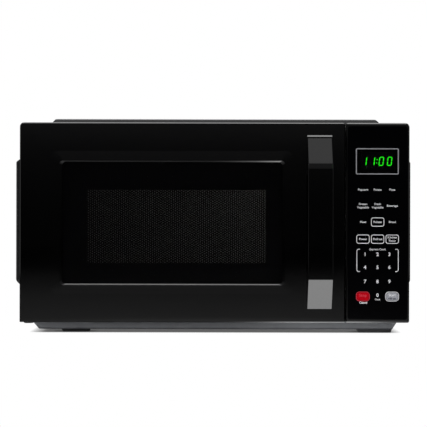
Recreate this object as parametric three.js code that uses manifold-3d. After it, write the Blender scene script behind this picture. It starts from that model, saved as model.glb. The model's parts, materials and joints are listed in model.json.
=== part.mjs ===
// A compact countertop microwave oven, as an assembly of separate pieces.
// Millimetres. +X is to the right, +Y to the back and +Z up, and the door faces -Y.
// The origin is under the middle of the oven, on the surface that its feet stand on.

import * as THREE from 'three';
import { mergeVertices } from 'three/addons/utils/BufferGeometryUtils.js';
import Module from 'manifold-3d';

const wasm = await Module();
wasm.setup();

// ---------------------------------------------------------------- Driving dimensions

const CLEARANCE = 0.3; // between pieces that rest on each other
const SHEET = 1; // thickness of the steel sheets
const BEYOND = 5; // how far a cutting tool runs past the face that it cuts

// The front: the door and the control panel, side by side in one plane.
const FRONT = { left: -217.25, right: 220.25, bottom: 14, top: 238, face: -152, wall: 2.5, corner: 5 };

// The casing: one sheet bent over the sides and the roof, with pressed-out fields.
const CASING = { side: 219.2, roof: 238.5, bottom: 13, front: -116, back: 172, corner: 6 };
const SIDE_FIELD = { rise: 7.2, foot: [[-104, 150], [49.5, 201.3]], crest: [[-97, 143], [60.5, 194.4]] };
const ROOF_FIELD = { rise: 6, foot: [[-188, 194], [-104, 150]], crest: [[-180, 182.5], [-97, 143]] };
const BACK_FIELD = { rise: 7.2, foot: [[-170, 180], [48, 205]], crest: [[-161, 171], [57, 196]] };
const FIELD_CORNER = 9;
const BACK_PANEL = { side: 217.8, bottom: 16, top: 237, face: 171.8 };
const VENT_WIDTH = 6;
const SIDE_VENTS = { first: 28, pitch: 13, count: 8, z: [208, 228] };
const BACK_VENTS = [
  { x: [117, 131, 145, 159], z: [100, 180] },
  { x: [-140, -126, -112, -98], z: [150, 184] },
];
const CASING_SCREWS = [
  ['casing_screw_left', -206, 120],
  ['casing_screw_right', 206, 120],
  ['casing_screw_top', 0, 226],
];
const GLAND = [185, 33];

// The cooking cavity, inside.
const CAVITY = { left: -182, right: 100, floor: 30, ceiling: 222, front: -114.7, back: 160 };
const FRONT_PLATE = { side: 217.8, bottom: 15, top: 237, front: -116.2, back: -115 };
const WAVE_PORT = { y: [12, 84], z: [152, 198] };
const LAMP = { y: -22, z: 190 };

// The pan under the oven. Its ends slope, and it stands back behind the door.
const PAN = {
  bottom: 3.8,
  top: 14,
  wall: 1.2,
  foot: [[-200, 206], [-104.5, 167]],
  rim: [[-209, 212.5], [-107, 169]],
  vents: { x: [125, 141, 157, 173], y: [-50, 20] },
};
const FLOOR = PAN.bottom + PAN.wall + CLEARANCE; // where the heavy parts stand
const FEET = [
  ['foot_front_left', [-175, -142], [-94, -66]],
  ['foot_front_right', [165, 205.5], [-103, -75]],
  ['foot_rear_left', [-175, -142], [122, 150]],
  ['foot_rear_right', [165, 205.5], [122, 150]],
];

// The door, which swings on two pins at its left end.
const DOOR = { right: 148, rim: -119.5, chamfer: 3, cover: [-122, -120], coverFace: -117.5 };
const HINGE = { x: -209, y: -131, pinRadius: 2.5, holeRadius: 3.1, plate: 1.5, tipRadius: 5 };
const HINGE_POCKET = { right: -196, front: -141, floor: 229.5, wall: 2.5 };
const WINDOW = { x: [-169, 80], z: [56, 194.7], corner: 4, bevel: 1.6 };
const PERFORATED = { x: [-142.7, 59.2], z: [80.2, 162.6] };
const CHOKE = { x: [-196, 116], z: [20, 232] };
const HANDLE = { x: [105.4, 132.4], z: [28.5, 224], face: -179, slope: 32, inner: -166, gap: [74, 178] };
const HANDLE_SCREWS = { x: 119, levels: [44, 208] };

// The latch in the door, and the three switches that its fingers press.
const LATCH = { x: 128.3, width: 7, front: -140, back: -129, z: [56, 190], reach: -103, travel: 4 };
const HOOK = { levels: [175, 75], up: 5, down: 5, barb: 4, barbStart: -110 };
const FINGER = { level: 107, up: 4, down: 4 };
const SLOT_MARGIN = 2;
const SWITCH = { half: [5, 14], depth: 16, front: -100 };
const SWITCHES = [
  ['upper_door_switch', HOOK.levels[0]],
  ['monitor_switch', FINGER.level],
  ['lower_door_switch', HOOK.levels[1]],
];

// The control panel.
const PANEL = { left: 148.8, film: [[151, 218], [17.5, 234.5]], filmDepth: 0.9 };
const DISPLAY = { lens: [[160.2, 207.8], [180, 209]], opening: [[163, 205], [183, 206]] };

// The turntable: a coupler, a glass tray, and a ring that carries three rollers.
const TURNTABLE = { x: -41, y: 23, trayRadius: 127.5, trayBottom: 46.6, ring: [82, 89] };
const TRAY_LUG = { across: [10.5, 17], half: 4, drop: 5, angles: [60, 180, 300] };
const ROLLER = { reach: 97, width: 7, radius: 8, bore: 2.5, axle: 2, axis: 38.2, count: 3 };

// The magnetron, whose antenna reaches through the waveguide towards -X.
const MAGNETRON = { x: [123.5, 198], y: [8, 92], z: [132, 214], antenna: [48, 175] };

// The cooling fan, whose axis lies along Y.
const FAN = { x: 160, y: 124, z: 172, radius: 47, hub: 14, blades: 5, opening: 51 };

// ---------------------------------------------------------------- Colours

function finish(color, roughness, metalness) {
  return new THREE.MeshStandardMaterial({ color, roughness, metalness });
}

const FINISH = {
  blackGloss: finish(0x0b0b0c, 0.15, 0),
  blackPaint: finish(0x17181a, 0.45, 0.2),
  blackMatt: finish(0x1d1d1f, 0.6, 0),
  film: finish(0x050506, 0.25, 0),
  glass: finish(0x101214, 0.05, 0),
  trayGlass: finish(0xcfe0dd, 0.05, 0),
  zinc: finish(0x9fa3a6, 0.4, 0.9),
  cavityPaint: finish(0xb9b9b4, 0.5, 0.1),
  whitePlastic: finish(0xe4e2da, 0.5, 0),
  board: finish(0x2f6b3a, 0.6, 0),
  mica: finish(0xb7a98a, 0.6, 0),
  copper: finish(0x9c5a2c, 0.4, 0.9),
  rubber: finish(0x141414, 0.9, 0),
};

// ---------------------------------------------------------------- Solids

/** The solid inside a closed surface, with its faces turned outwards. */
function toSolid(geometry) {
  const bare = geometry.clone();
  bare.deleteAttribute('normal');
  bare.deleteAttribute('uv');
  const merged = mergeVertices(bare, 1e-4);
  const vertProperties = merged.attributes.position.array;
  const corner = (i) => new THREE.Vector3().fromArray(vertProperties, 3 * i);
  const triangles = [];
  let volume = 0;
  for (let i = 0; i < merged.index.count; i += 3) {
    const [a, b, c] = merged.index.array.slice(i, i + 3);
    if (a === b || b === c || c === a) continue;
    triangles.push(a, b, c);
    volume += corner(a).dot(corner(b).cross(corner(c)));
  }
  if (volume < 0) triangles.reverse();
  const triVerts = Uint32Array.from(triangles);
  return new wasm.Manifold(new wasm.Mesh({ numProp: 3, vertProperties, triVerts }));
}

/** The closed surface of a solid, for a mesh. */
function toGeometry(solid) {
  const { vertProperties, triVerts } = solid.getMesh();
  const geometry = new THREE.BufferGeometry();
  geometry.setAttribute('position', new THREE.BufferAttribute(vertProperties, 3));
  geometry.setIndex(new THREE.BufferAttribute(triVerts, 1));
  geometry.computeVertexNormals();
  return geometry;
}

/** One solid out of several that overlap. */
function join(first, ...others) {
  return others.reduce((whole, solid) => whole.add(solid), first);
}

/** A solid with others taken out of it. */
function cut(solid, ...tools) {
  return tools.reduce((rest, tool) => rest.subtract(tool), solid);
}

/** A range of numbers made wider, or narrower, by the same amount at both ends. */
function widen([from, to], by) {
  return [from - by, to + by];
}

/** The number halfway along a range. */
function middle([from, to]) {
  return (from + to) / 2;
}

/** A box between two limits along each axis. */
function box([x0, x1], [y0, y1], [z0, z1]) {
  const geometry = new THREE.BoxGeometry(x1 - x0, y1 - y0, z1 - z0);
  geometry.translate((x0 + x1) / 2, (y0 + y1) / 2, (z0 + z1) / 2);
  return toSolid(geometry);
}

/** A rectangle with its own radius at each corner: low left, low right, high right, high left. */
function cornered([left, right], [low, high], radii) {
  const shape = new THREE.Shape();
  const centres = [[left, low, 1, 1], [right, low, -1, 1], [right, high, -1, -1], [left, high, 1, -1]];
  centres.forEach(([u, v, inU, inV], i) => {
    const r = Math.max(radii[i], 0.05);
    const start = Math.PI + (i * Math.PI) / 2;
    shape.absarc(u + inU * r, v + inV * r, r, start, start + Math.PI / 2, false);
  });
  return shape;
}

/** A rectangle with the same radius at every corner. */
function rounded(u, v, radius) {
  return cornered(u, v, [radius, radius, radius, radius]);
}

/** A circle. */
function circle(u, v, radius) {
  return new THREE.Shape().absarc(u, v, radius, 0, 2 * Math.PI, false);
}

/** An outline through points. */
function outline(points) {
  return new THREE.Shape(points.map(([u, v]) => new THREE.Vector2(u, v)));
}

// How an outline's two coordinates and the distance along the axis become a place.
const ALONG = {
  x: (u, v, w) => [w, u, v],
  y: (u, v, w) => [u, w, v],
  z: (u, v, w) => [u, v, w],
};

/** An outline made thick along an axis. It is drawn in the other two axes, in order. */
function slab(axis, shape, [from, to], steps = 2) {
  const options = { depth: to - from, bevelEnabled: false, curveSegments: steps };
  const geometry = new THREE.ExtrudeGeometry(shape, options);
  const position = geometry.attributes.position;
  for (let i = 0; i < position.count; i += 1) {
    const w = from + position.getZ(i);
    position.setXYZ(i, ...ALONG[axis](position.getX(i), position.getY(i), w));
  }
  return toSolid(geometry);
}

/** A round bar along an axis. `at` is its place in the other two axes. */
function bar(axis, [u, v], radius, along, sides = 20) {
  return slab(axis, circle(u, v, radius), along, sides / 2);
}

/** A solid through rings of points that match one to one. Its two ends are flat. */
function loft(rings) {
  const count = rings[0].length;
  const index = [];
  for (let level = 0; level + 1 < rings.length; level += 1) {
    for (let i = 0; i < count; i += 1) {
      const a = level * count + i;
      const b = level * count + ((i + 1) % count);
      index.push(a, b, b + count, a, b + count, a + count);
    }
  }
  const last = (rings.length - 1) * count;
  for (let i = 1; i + 1 < count; i += 1) {
    index.push(0, i + 1, i, last, last + i, last + i + 1);
  }
  const geometry = new THREE.BufferGeometry();
  geometry.setAttribute('position', new THREE.Float32BufferAttribute(rings.flat(2), 3));
  geometry.setIndex(index);
  return toSolid(geometry);
}

/** A solid that goes from one rounded outline to another along an axis. */
function tapered(axis, ...levels) {
  return loft(levels.map(([shape, at]) => shape.getPoints(3).map((p) => ALONG[axis](p.x, p.y, at))));
}

/** A solid of revolution about Z. Its profile is radius and height, and closes on itself. */
function turned(profile, segments = 32) {
  const points = [...profile, profile[0]].map(([radius, height]) => new THREE.Vector2(radius, height));
  return toSolid(new THREE.LatheGeometry(points, segments).rotateX(Math.PI / 2));
}

/** A solid turned from the Z axis to lie along X or Y. */
function laid(solid, axis) {
  return axis === 'x' ? solid.rotate([0, 90, 0]) : solid.rotate([-90, 0, 0]);
}

// ---------------------------------------------------------------- The assembly

const oven = new THREE.Group();

/** Puts a named piece into the assembly. */
function add(name, solid, material, parent = oven) {
  const mesh = new THREE.Mesh(toGeometry(solid), material);
  mesh.name = name;
  parent.add(mesh);
  return mesh;
}

/** An empty group at a place, for pieces drawn round their own middle. */
function groupAt(x, y, z, parent = oven) {
  const group = new THREE.Group();
  group.position.set(x, y, z);
  parent.add(group);
  return group;
}

// ---------------------------------------------------------------- Casing and base

/** A field pressed out of a sheet: its foot lies in the sheet's face and its crest stands out. */
function pressedField(axis, field, face, way) {
  const foot = rounded(...field.foot, FIELD_CORNER);
  const crest = rounded(...field.crest, FIELD_CORNER);
  return tapered(axis, [foot, face - way * BEYOND], [foot, face], [crest, face + way * field.rise]);
}

/** The casing's profile, seen from the front: rounded at the top and open below. */
function casingProfile(inset) {
  const radius = CASING.corner - inset;
  const side = CASING.side - inset;
  const upright = [CASING.bottom - inset * BEYOND, CASING.roof - inset];
  return cornered([-side, side], upright, [0, 0, radius, radius]);
}

/** The bent sheet: each field is pressed out of it by a step inwards of its own shape. */
function outerCasing() {
  const fields = [
    [pressedField('x', SIDE_FIELD, CASING.side, 1), [-SHEET, 0, 0]],
    [pressedField('x', SIDE_FIELD, -CASING.side, -1), [SHEET, 0, 0]],
    [pressedField('z', ROOF_FIELD, CASING.roof, 1), [0, 0, -SHEET]],
  ];
  const wrap = slab('y', casingProfile(0), [CASING.front, CASING.back]);
  const outside = join(wrap, ...fields.map(([field]) => field));
  const hollow = slab('y', casingProfile(SHEET), [CASING.front - BEYOND, CASING.back + BEYOND]);
  const inside = join(hollow, ...fields.map(([field, inwards]) => field.translate(inwards)));
  const across = widen([-CASING.side, CASING.side], 2 * BEYOND);
  const vents = Array.from({ length: SIDE_VENTS.count }, (_, i) => {
    const from = SIDE_VENTS.first + i * SIDE_VENTS.pitch;
    return box(across, [from, from + VENT_WIDTH], SIDE_VENTS.z);
  });
  return cut(outside, inside, ...vents);
}

/** The back: a sheet with one pressed-out field, its vents, and holes for its screws and the gland. */
function backPanel() {
  const { side, bottom, top, face } = BACK_PANEL;
  const sheet = slab('y', rounded([-side, side], [bottom, top], 4), [face - SHEET, face]);
  const field = pressedField('y', BACK_FIELD, face, 1);
  const behind = box([-side, side], [face - 4 * BEYOND, face - SHEET], [bottom, top]);
  const whole = cut(join(sheet, field), field.translate([0, -SHEET, 0]), behind);
  const through = [face - 2 * BEYOND, face + BACK_FIELD.rise + BEYOND];
  const vents = BACK_VENTS.flatMap(({ x, z }) => x.map((from) => box([from, from + VENT_WIDTH], through, z)));
  const holes = CASING_SCREWS.map(([, x, z]) => bar('y', [x, z], 2.3, through, 12));
  return cut(whole, ...vents, ...holes, bar('y', GLAND, 6.2, through));
}

/** A self-tapping screw with a cross recess, its head to the back. */
function casingScrew() {
  const head = turned([[0, 0.3], [4, 0.3], [3.4, 2.2], [0, 2.6]], 16);
  const drive = join(box([-2.2, 2.2], [-0.5, 0.5], [1.4, 3]), box([-0.5, 0.5], [-2.2, 2.2], [1.4, 3]));
  const shank = turned([[0, 0.5], [1.8, 0.5], [1.8, -6], [0, -8]], 12);
  return laid(cut(join(head, shank), drive), 'y');
}

/** The bush that holds a mains lead in the back panel. Its bore is free. */
function cordGland() {
  const [x, z] = GLAND;
  const flange = bar('y', [x, z], 8.5, [BACK_PANEL.face + CLEARANCE, BACK_PANEL.face + 4]);
  const neck = bar('y', [x, z], 5.8, [BACK_PANEL.face - 9, BACK_PANEL.face + 2]);
  const nut = bar('y', [x, z], 8, [BACK_PANEL.face - 8, BACK_PANEL.face - SHEET - CLEARANCE], 6);
  return cut(join(flange, neck, nut), bar('y', [x, z], 3.6, [150, 185], 12));
}

/** The pan: sloping walls, a flat flange under the casing, and holes for the feet and for air. */
function basePlate() {
  const { wall } = PAN;
  const shell = tapered('z', [rounded(...PAN.foot, 6), PAN.bottom], [rounded(...PAN.rim, 8), PAN.top]);
  const inner = [PAN.foot, PAN.rim].map((limits) => limits.map((range) => widen(range, -wall)));
  const flange = slab('z', rounded([-217.6, 217.6], [-114.5, 170.4], 4), [PAN.top - wall, PAN.top]);
  const hollow = tapered(
    'z',
    [rounded(...inner[0], 6), PAN.bottom + wall],
    [rounded(...inner[1], 8), PAN.top],
    [rounded(...inner[1], 8), PAN.top + BEYOND],
  );
  const holes = FEET.map(([, x, y]) => bar('z', [middle(x), middle(y)], 4.5, [0, 10], 16));
  const vents = PAN.vents.x.map((x) => box([x, x + VENT_WIDTH], PAN.vents.y, [0, 10]));
  return cut(join(shell, flange), hollow, ...holes, ...vents);
}

/** A rubber foot: a sloped pad with a plug that holds it in the pan. */
function foot(width, depth) {
  const pad = tapered(
    'z',
    [rounded([-width / 2 + 2, width / 2 - 1], [-depth / 2 + 1, depth / 2 - 1], 4), 0],
    [rounded([-width / 2, width / 2], [-depth / 2, depth / 2], 5), PAN.bottom - CLEARANCE],
  );
  return join(pad, bar('z', [0, 0], 4, [1, 8], 16));
}

function buildCasing() {
  add('outer_casing', outerCasing(), FINISH.blackPaint);
  add('back_panel', backPanel(), FINISH.zinc);
  add('base_plate', basePlate(), FINISH.zinc);
  add('cord_gland', cordGland(), FINISH.blackMatt);
  for (const [name, x, z] of CASING_SCREWS) {
    add(name, casingScrew(), FINISH.zinc, groupAt(x, BACK_PANEL.face, z));
  }
  for (const [name, x, y] of FEET) {
    add(name, foot(x[1] - x[0], y[1] - y[0]), FINISH.rubber, groupAt(middle(x), middle(y), 0));
  }
}

// ---------------------------------------------------------------- Cavity

/** The slots that the two hooks and the finger pass through, with room for the latch to lift. */
function latchSlots(x, y) {
  const above = LATCH.travel + SLOT_MARGIN;
  const below = HOOK.down + HOOK.barb + SLOT_MARGIN;
  const hooks = HOOK.levels.map((z) => box(x, y, [z - below, z + HOOK.up + above]));
  const finger = box(x, y, [FINGER.level - FINGER.down - SLOT_MARGIN, FINGER.level + FINGER.up + above]);
  return [...hooks, finger];
}

/** The plate round the cavity's mouth, with the latch slots and an opening for the panel's wiring. */
function frontPlate() {
  const { side, bottom, top, front, back } = FRONT_PLATE;
  const plate = slab('y', rounded([-side, side], [bottom, top], 5), [front, back]);
  const mouth = rounded([CAVITY.left, CAVITY.right], [CAVITY.floor, CAVITY.ceiling], 6);
  const wiring = rounded([164, 204], [60, 200], 6);
  return cut(
    plate,
    slab('y', mouth, [front - 1, back + 1]),
    slab('y', wiring, [front - 1, back + 1]),
    ...latchSlots([121, 136], [front - 1, back + 1]),
  );
}

/** A side wall of the cavity, from one side of its sheet to the other. */
function cavitySide(across) {
  const { floor, ceiling, front, back } = CAVITY;
  return box(across, [front, back - CLEARANCE], [floor + CLEARANCE, ceiling - CLEARANCE]);
}

/** The right wall, with the port for the waves and small holes in front of the lamp. */
function cavityRightWall() {
  const { right } = CAVITY;
  const wall = cavitySide([right, right + SHEET]);
  const port = slab('x', rounded(WAVE_PORT.y, WAVE_PORT.z, 4), [right - 1, right + 3]);
  const lampHoles = [];
  for (const y of [-7, 0, 7]) {
    for (const z of [-7, 0, 7]) {
      lampHoles.push(bar('x', [LAMP.y + y, LAMP.z + z], 2.4, [right - 1, right + 3], 6));
    }
  }
  return cut(wall, port, ...lampHoles);
}

/** The left wall, with the holes that let steam out. */
function cavityLeftWall() {
  const { left } = CAVITY;
  const wall = cavitySide([left - SHEET, left]);
  const steamHoles = [];
  for (const y of [92, 100, 108, 116, 124]) {
    for (const z of [192, 200]) {
      steamHoles.push(bar('x', [y, z], 2.4, [left - 3, left + 1], 6));
    }
  }
  return cut(wall, ...steamHoles);
}

function buildCavity() {
  const { left, right, floor, ceiling, front, back } = CAVITY;
  const across = widen([left, right], SHEET);
  const deep = [front, back + SHEET];
  const upright = [floor + CLEARANCE, ceiling - CLEARANCE];
  const drive = bar('z', [TURNTABLE.x, TURNTABLE.y], 8, [floor - 3, floor + 1], 24);
  add('front_plate', frontPlate(), FINISH.cavityPaint);
  add('cavity_floor', cut(box(across, deep, [floor - SHEET, floor]), drive), FINISH.cavityPaint);
  add('cavity_ceiling', box(across, deep, [ceiling, ceiling + SHEET]), FINISH.cavityPaint);
  add('cavity_left_wall', cavityLeftWall(), FINISH.cavityPaint);
  add('cavity_right_wall', cavityRightWall(), FINISH.cavityPaint);
  add('cavity_rear_wall', box(across, [back, back + SHEET], upright), FINISH.cavityPaint);
  const cover = rounded(widen(WAVE_PORT.y, 8), widen(WAVE_PORT.z, 8), 4);
  add('waveguide_cover', slab('x', cover, [right - 1.1, right - CLEARANCE]), FINISH.mica);
}

// ---------------------------------------------------------------- Turntable

/** The drive for the tray: a stem, a hub and three lobes that push the tray's lugs. */
function coupler() {
  const stem = bar('z', [0, 0], 4, [20, 34], 16);
  const hub = bar('z', [0, 0], 9, [33, 46.2], 24);
  const lobe = box([0, 16], [-4, 4], [36, 46.2]);
  const lobes = [0, 120, 240].map((angle) => lobe.rotate([0, 0, angle]));
  return join(stem, hub, ...lobes);
}

/** The glass tray: a dish with a raised rim, and three lugs under it. */
function tray() {
  const { trayRadius, trayBottom } = TURNTABLE;
  const { across, half, drop, angles } = TRAY_LUG;
  const glass = 4.4;
  const dish = turned([
    [0, trayBottom],
    [104, trayBottom],
    [111, trayBottom + 1.6],
    [trayRadius - 3, trayBottom + 8.6],
    [trayRadius, trayBottom + 11.2],
    [trayRadius - 1.6, trayBottom + 12],
    [trayRadius - 6, trayBottom + 11.2],
    [110, trayBottom + glass + 1.4],
    [102, trayBottom + glass],
    [0, trayBottom + glass],
  ], 40);
  const lug = box(across, [-half, half], [trayBottom - drop, trayBottom + 1]);
  return join(dish, ...angles.map((angle) => lug.rotate([0, 0, angle])));
}

/** The ring under the tray, with a stub axle and a stop for each roller. */
function rollerRing() {
  const [inner, outer] = TURNTABLE.ring;
  const { axis, axle, reach, width } = ROLLER;
  const ring = turned([[inner, axis - 3], [outer, axis - 3], [outer, axis + 3], [inner, axis + 3]], 36);
  const end = reach + width / 2 + 1;
  const stub = join(
    bar('x', [0, axis], axle, [outer - 1, end + 0.5], 10),
    bar('x', [0, axis], 3.2, [end, end + 2], 10),
  );
  return join(ring, ...rollerAngles().map((angle) => stub.rotate([0, 0, angle])));
}

/** The directions of the rollers, in degrees. */
function rollerAngles() {
  return Array.from({ length: ROLLER.count }, (_, i) => 90 + (i * 360) / ROLLER.count);
}

/** A roller with eased rims, lying along X. */
function roller() {
  const { width, radius, bore } = ROLLER;
  const half = width / 2;
  const profile = [
    [bore, -half],
    [radius - 1, -half],
    [radius, 1 - half],
    [radius, half - 1],
    [radius - 1, half],
    [bore, half],
  ];
  return laid(turned(profile, 20), 'x');
}

/** The flat motor under the cavity, with its ears and terminals. */
function turntableMotor() {
  const body = bar('z', [0, 0], 24.5, [10.5, 26.5], 32);
  const ears = slab('z', rounded([-32, 32], [-6, 6], 5), [25.3, 26.5]);
  const terminals = box([-6, 6], [-31, -20], [12, 20]);
  return cut(join(body, ears, terminals), bar('z', [0, 0], 4.6, [16, 30], 16));
}

function buildTurntable() {
  const centre = groupAt(TURNTABLE.x, TURNTABLE.y, 0);
  add('turntable_motor', turntableMotor(), FINISH.zinc, centre);
  add('turntable_coupler', coupler(), FINISH.whitePlastic, centre);
  add('glass_turntable', tray(), FINISH.trayGlass, centre);
  add('roller_ring', rollerRing(), FINISH.whitePlastic, centre);
  rollerAngles().forEach((angle, i) => {
    const arm = groupAt(0, 0, 0, centre);
    arm.rotation.z = THREE.MathUtils.degToRad(angle);
    add(`roller_${i + 1}`, roller(), FINISH.whitePlastic, arm).position.set(ROLLER.reach, 0, ROLLER.axis);
  });
}

// ---------------------------------------------------------------- Door

/** The outside of the door frame, with a chamfer round its back edge for the swing. */
function doorBlock() {
  const { left, bottom, top, face, corner } = FRONT;
  const { right, rim, chamfer } = DOOR;
  const radii = [1, 1, 2, corner];
  const at = (inset) => cornered(widen([left, right], -inset), widen([bottom, top], -inset), radii);
  return tapered('y', [at(0), face], [at(0), rim - chamfer], [at(chamfer * 0.75), rim]);
}

/** The hollow door frame: its window opening, the well for the upper hinge, and its pin and screw holes. */
function doorFrame() {
  const { left, bottom, top, face, wall, corner } = FRONT;
  const pocket = HINGE_POCKET;
  const inner = [[left, DOOR.right], [bottom, top]].map((range) => widen(range, -wall));
  const hollow = slab('y', cornered(...inner, [1, 1, 1, corner - wall]), [face + wall, DOOR.rim + BEYOND], 3);
  const opening = (by) => rounded(widen(WINDOW.x, by), widen(WINDOW.z, by), WINDOW.corner);
  const glazing = tapered(
    'y',
    [opening(WINDOW.bevel + 1), face - 1],
    [opening(WINDOW.bevel), face],
    [opening(0), face + WINDOW.bevel],
    [opening(0), face + wall + 1],
  );
  const hingeWell = box([left - 1, pocket.right], [pocket.front, DOOR.rim + 1], [pocket.floor, top + 1]);
  const wellWalls = box(
    [left, pocket.right + pocket.wall],
    [pocket.front - pocket.wall, DOOR.rim],
    [pocket.floor - pocket.wall, top],
  );
  const lowerBoss = bar('z', [HINGE.x, HINGE.y], 5.5, [bottom, bottom + 8], 16);
  const springSeat = box([122, 136], [face + 1, -128], [215, 217]);
  const pinHoles = bar('z', [HINGE.x, HINGE.y], HINGE.holeRadius, [bottom - 1, top + 1], 16);
  const { x, levels } = HANDLE_SCREWS;
  const screwHoles = levels.map((z) => bar('y', [x, z], 2.3, [face - 1, face + wall + 1], 12));
  const block = doorBlock();
  const shell = join(cut(block, hollow, glazing), wellWalls.intersect(block), lowerBoss, springSeat);
  return cut(shell, hingeWell, pinHoles, ...screwHoles);
}

/** The steel door panel: a flat sheet whose edge is folded back as the microwave seal. */
function doorScreen() {
  const x = widen(CHOKE.x, -3);
  const z = widen(CHOKE.z, -3);
  const tub = slab('y', rounded(x, z, 4), [-141, -121]);
  return cut(tub, slab('y', rounded(widen(x, -SHEET), widen(z, -SHEET), 3), [-140, -115]));
}

/** The cover over the seal: a flange in the frame, a raised hollow rim, and a collar round the view. */
function doorInnerCover() {
  const { left, bottom, top, wall } = FRONT;
  const [flangeFront, flangeBack] = DOOR.cover;
  const inFrame = [[left, DOOR.right], [bottom, top]].map((range) => widen(range, -wall - CLEARANCE));
  const flange = slab('y', rounded(...inFrame, 2), [flangeFront, flangeBack]);
  const raised = slab('y', rounded(CHOKE.x, CHOKE.z, 6), [flangeFront, DOOR.coverFace]);
  const inside = [CHOKE.x, CHOKE.z].map((range) => widen(range, -1.6));
  const channel = slab('y', rounded(...inside, 5), [flangeFront - 1, DOOR.coverFace - 1.6]);
  const view = [PERFORATED.x, PERFORATED.z].map((range) => widen(range, 7));
  const aroundView = rounded(...view.map((range) => widen(range, 1.6)), 5);
  const collar = slab('y', aroundView, [-138, DOOR.coverFace - 1]);
  const hole = slab('y', rounded(...view, 4), [-140, -110]);
  const past = HINGE_POCKET.right + HINGE_POCKET.wall + CLEARANCE;
  const underWell = HINGE_POCKET.floor - HINGE_POCKET.wall - CLEARANCE;
  const upperCorner = box([-220, past], [-130, -110], [underWell, 240]);
  const lowerCorner = box([-220, HINGE.x + 7], [-130, -110], [10, 24]);
  const whole = join(cut(join(flange, raised), channel), collar);
  return cut(whole, hole, upperCorner, lowerCorner, ...latchSlots([121, 136], [-130, -115]));
}

/** A bar with sloping ends, and a gap behind it for the fingers. */
function doorHandle() {
  const [low, high] = HANDLE.z;
  const { face, slope, inner, gap } = HANDLE;
  const back = FRONT.face - CLEARANCE;
  const side = outline([
    [back, low],
    [back - 2, low],
    [face, low + slope],
    [face, high - slope],
    [back - 2, high],
    [back, high],
    [back, gap[1] + 10],
    [inner + 5, gap[1] + 6],
    [inner, gap[1] - 4],
    [inner, gap[0] + 4],
    [inner + 5, gap[0] - 6],
    [back, gap[0] - 10],
  ]);
  const { x, levels } = HANDLE_SCREWS;
  const holes = levels.map((z) => bar('y', [x, z], 2, [FRONT.face - 10, FRONT.face + 1], 12));
  return cut(slab('x', side, HANDLE.x), ...holes);
}

/** A pan-head screw, put in from inside the door. */
function handleScrew() {
  const head = turned([[0, 0.3], [4, 0.3], [4, 2.2], [0, 2.2]], 16);
  const shank = turned([[0, 1], [1.6, 1], [1.6, -9.5], [0, -11]], 12);
  return laid(join(head, shank), 'y');
}

/** The latch: an upright spine with two hooks, and a finger between them for the monitor switch. */
function latch() {
  const x = [LATCH.x - LATCH.width / 2, LATCH.x + LATCH.width / 2];
  const spine = box(x, [LATCH.front, LATCH.back], LATCH.z);
  const arm = (level, down, up) => box(x, [LATCH.back - 1, LATCH.reach], [level - down, level + up]);
  const barb = (level) => {
    const low = level - HOOK.down;
    const side = [
      [HOOK.barbStart, low + 1],
      [LATCH.reach, low + 1],
      [LATCH.reach, low - 1],
      [HOOK.barbStart, low - HOOK.barb],
    ];
    return slab('x', outline(side), x);
  };
  return join(
    spine,
    ...HOOK.levels.map((level) => join(arm(level, HOOK.down, HOOK.up), barb(level))),
    arm(FINGER.level, FINGER.down, FINGER.up),
  );
}

/** A wire wound into a helix, standing on the latch. */
function latchSpring() {
  const turns = 5;
  const radius = 3.6;
  const centreY = middle([LATCH.front, LATCH.back]);
  const [low, high] = [LATCH.z[1] + 1.2, 213.8];
  const points = [];
  for (let i = 0; i <= turns * 8; i += 1) {
    const angle = (i * Math.PI) / 4;
    const height = low + ((high - low) * i) / (turns * 8);
    const [x, y] = [radius * Math.cos(angle), radius * Math.sin(angle)];
    points.push(new THREE.Vector3(LATCH.x + x, centreY + y, height));
  }
  const path = new THREE.CatmullRomCurve3(points);
  const options = { steps: turns * 8, extrudePath: path, curveSegments: 3, bevelEnabled: false };
  return toSolid(new THREE.ExtrudeGeometry(circle(0, 0, 0.7), options));
}

function buildDoor() {
  add('door_outer_frame', doorFrame(), FINISH.blackGloss);
  const pane = rounded(widen(WINDOW.x, 7), widen(WINDOW.z, 7), 3);
  const behindFrame = FRONT.face + FRONT.wall + CLEARANCE;
  add('door_window', slab('y', pane, [behindFrame, behindFrame + 2.5]), FINISH.glass);
  add('door_screen', doorScreen(), FINISH.blackPaint);
  const sheet = rounded(widen(PERFORATED.x, 5.5), widen(PERFORATED.z, 5.5), 3);
  add('door_inner_sheet', slab('y', sheet, [-139.6, -138.8]), FINISH.glass);
  add('door_inner_cover', doorInnerCover(), FINISH.blackMatt);
  add('door_handle', doorHandle(), FINISH.blackGloss);
  ['handle_screw_lower', 'handle_screw_upper'].forEach((name, i) => {
    const inside = groupAt(HANDLE_SCREWS.x, FRONT.face + FRONT.wall, HANDLE_SCREWS.levels[i]);
    add(name, handleScrew(), FINISH.zinc, inside);
  });
  add('door_latch', latch(), FINISH.whitePlastic);
  add('latch_spring', latchSpring(), FINISH.zinc);
}

/** A bracket on the front plate: a riveted tab, a plate that reaches forward, and the door's pin. */
function hingeBracket(plateZ, pinZ, tabZ) {
  const { x, y, pinRadius, tipRadius } = HINGE;
  const back = FRONT_PLATE.front - CLEARANCE;
  const tab = slab('y', rounded([x - 7, x + 10], tabZ, 2), [back - 1.2, back]);
  const arm = box([x - tipRadius, x + tipRadius], [y, back], plateZ);
  const tip = bar('z', [x, y], tipRadius, plateZ);
  return join(tab, arm, tip, bar('z', [x, y], pinRadius, pinZ, 16));
}

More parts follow.
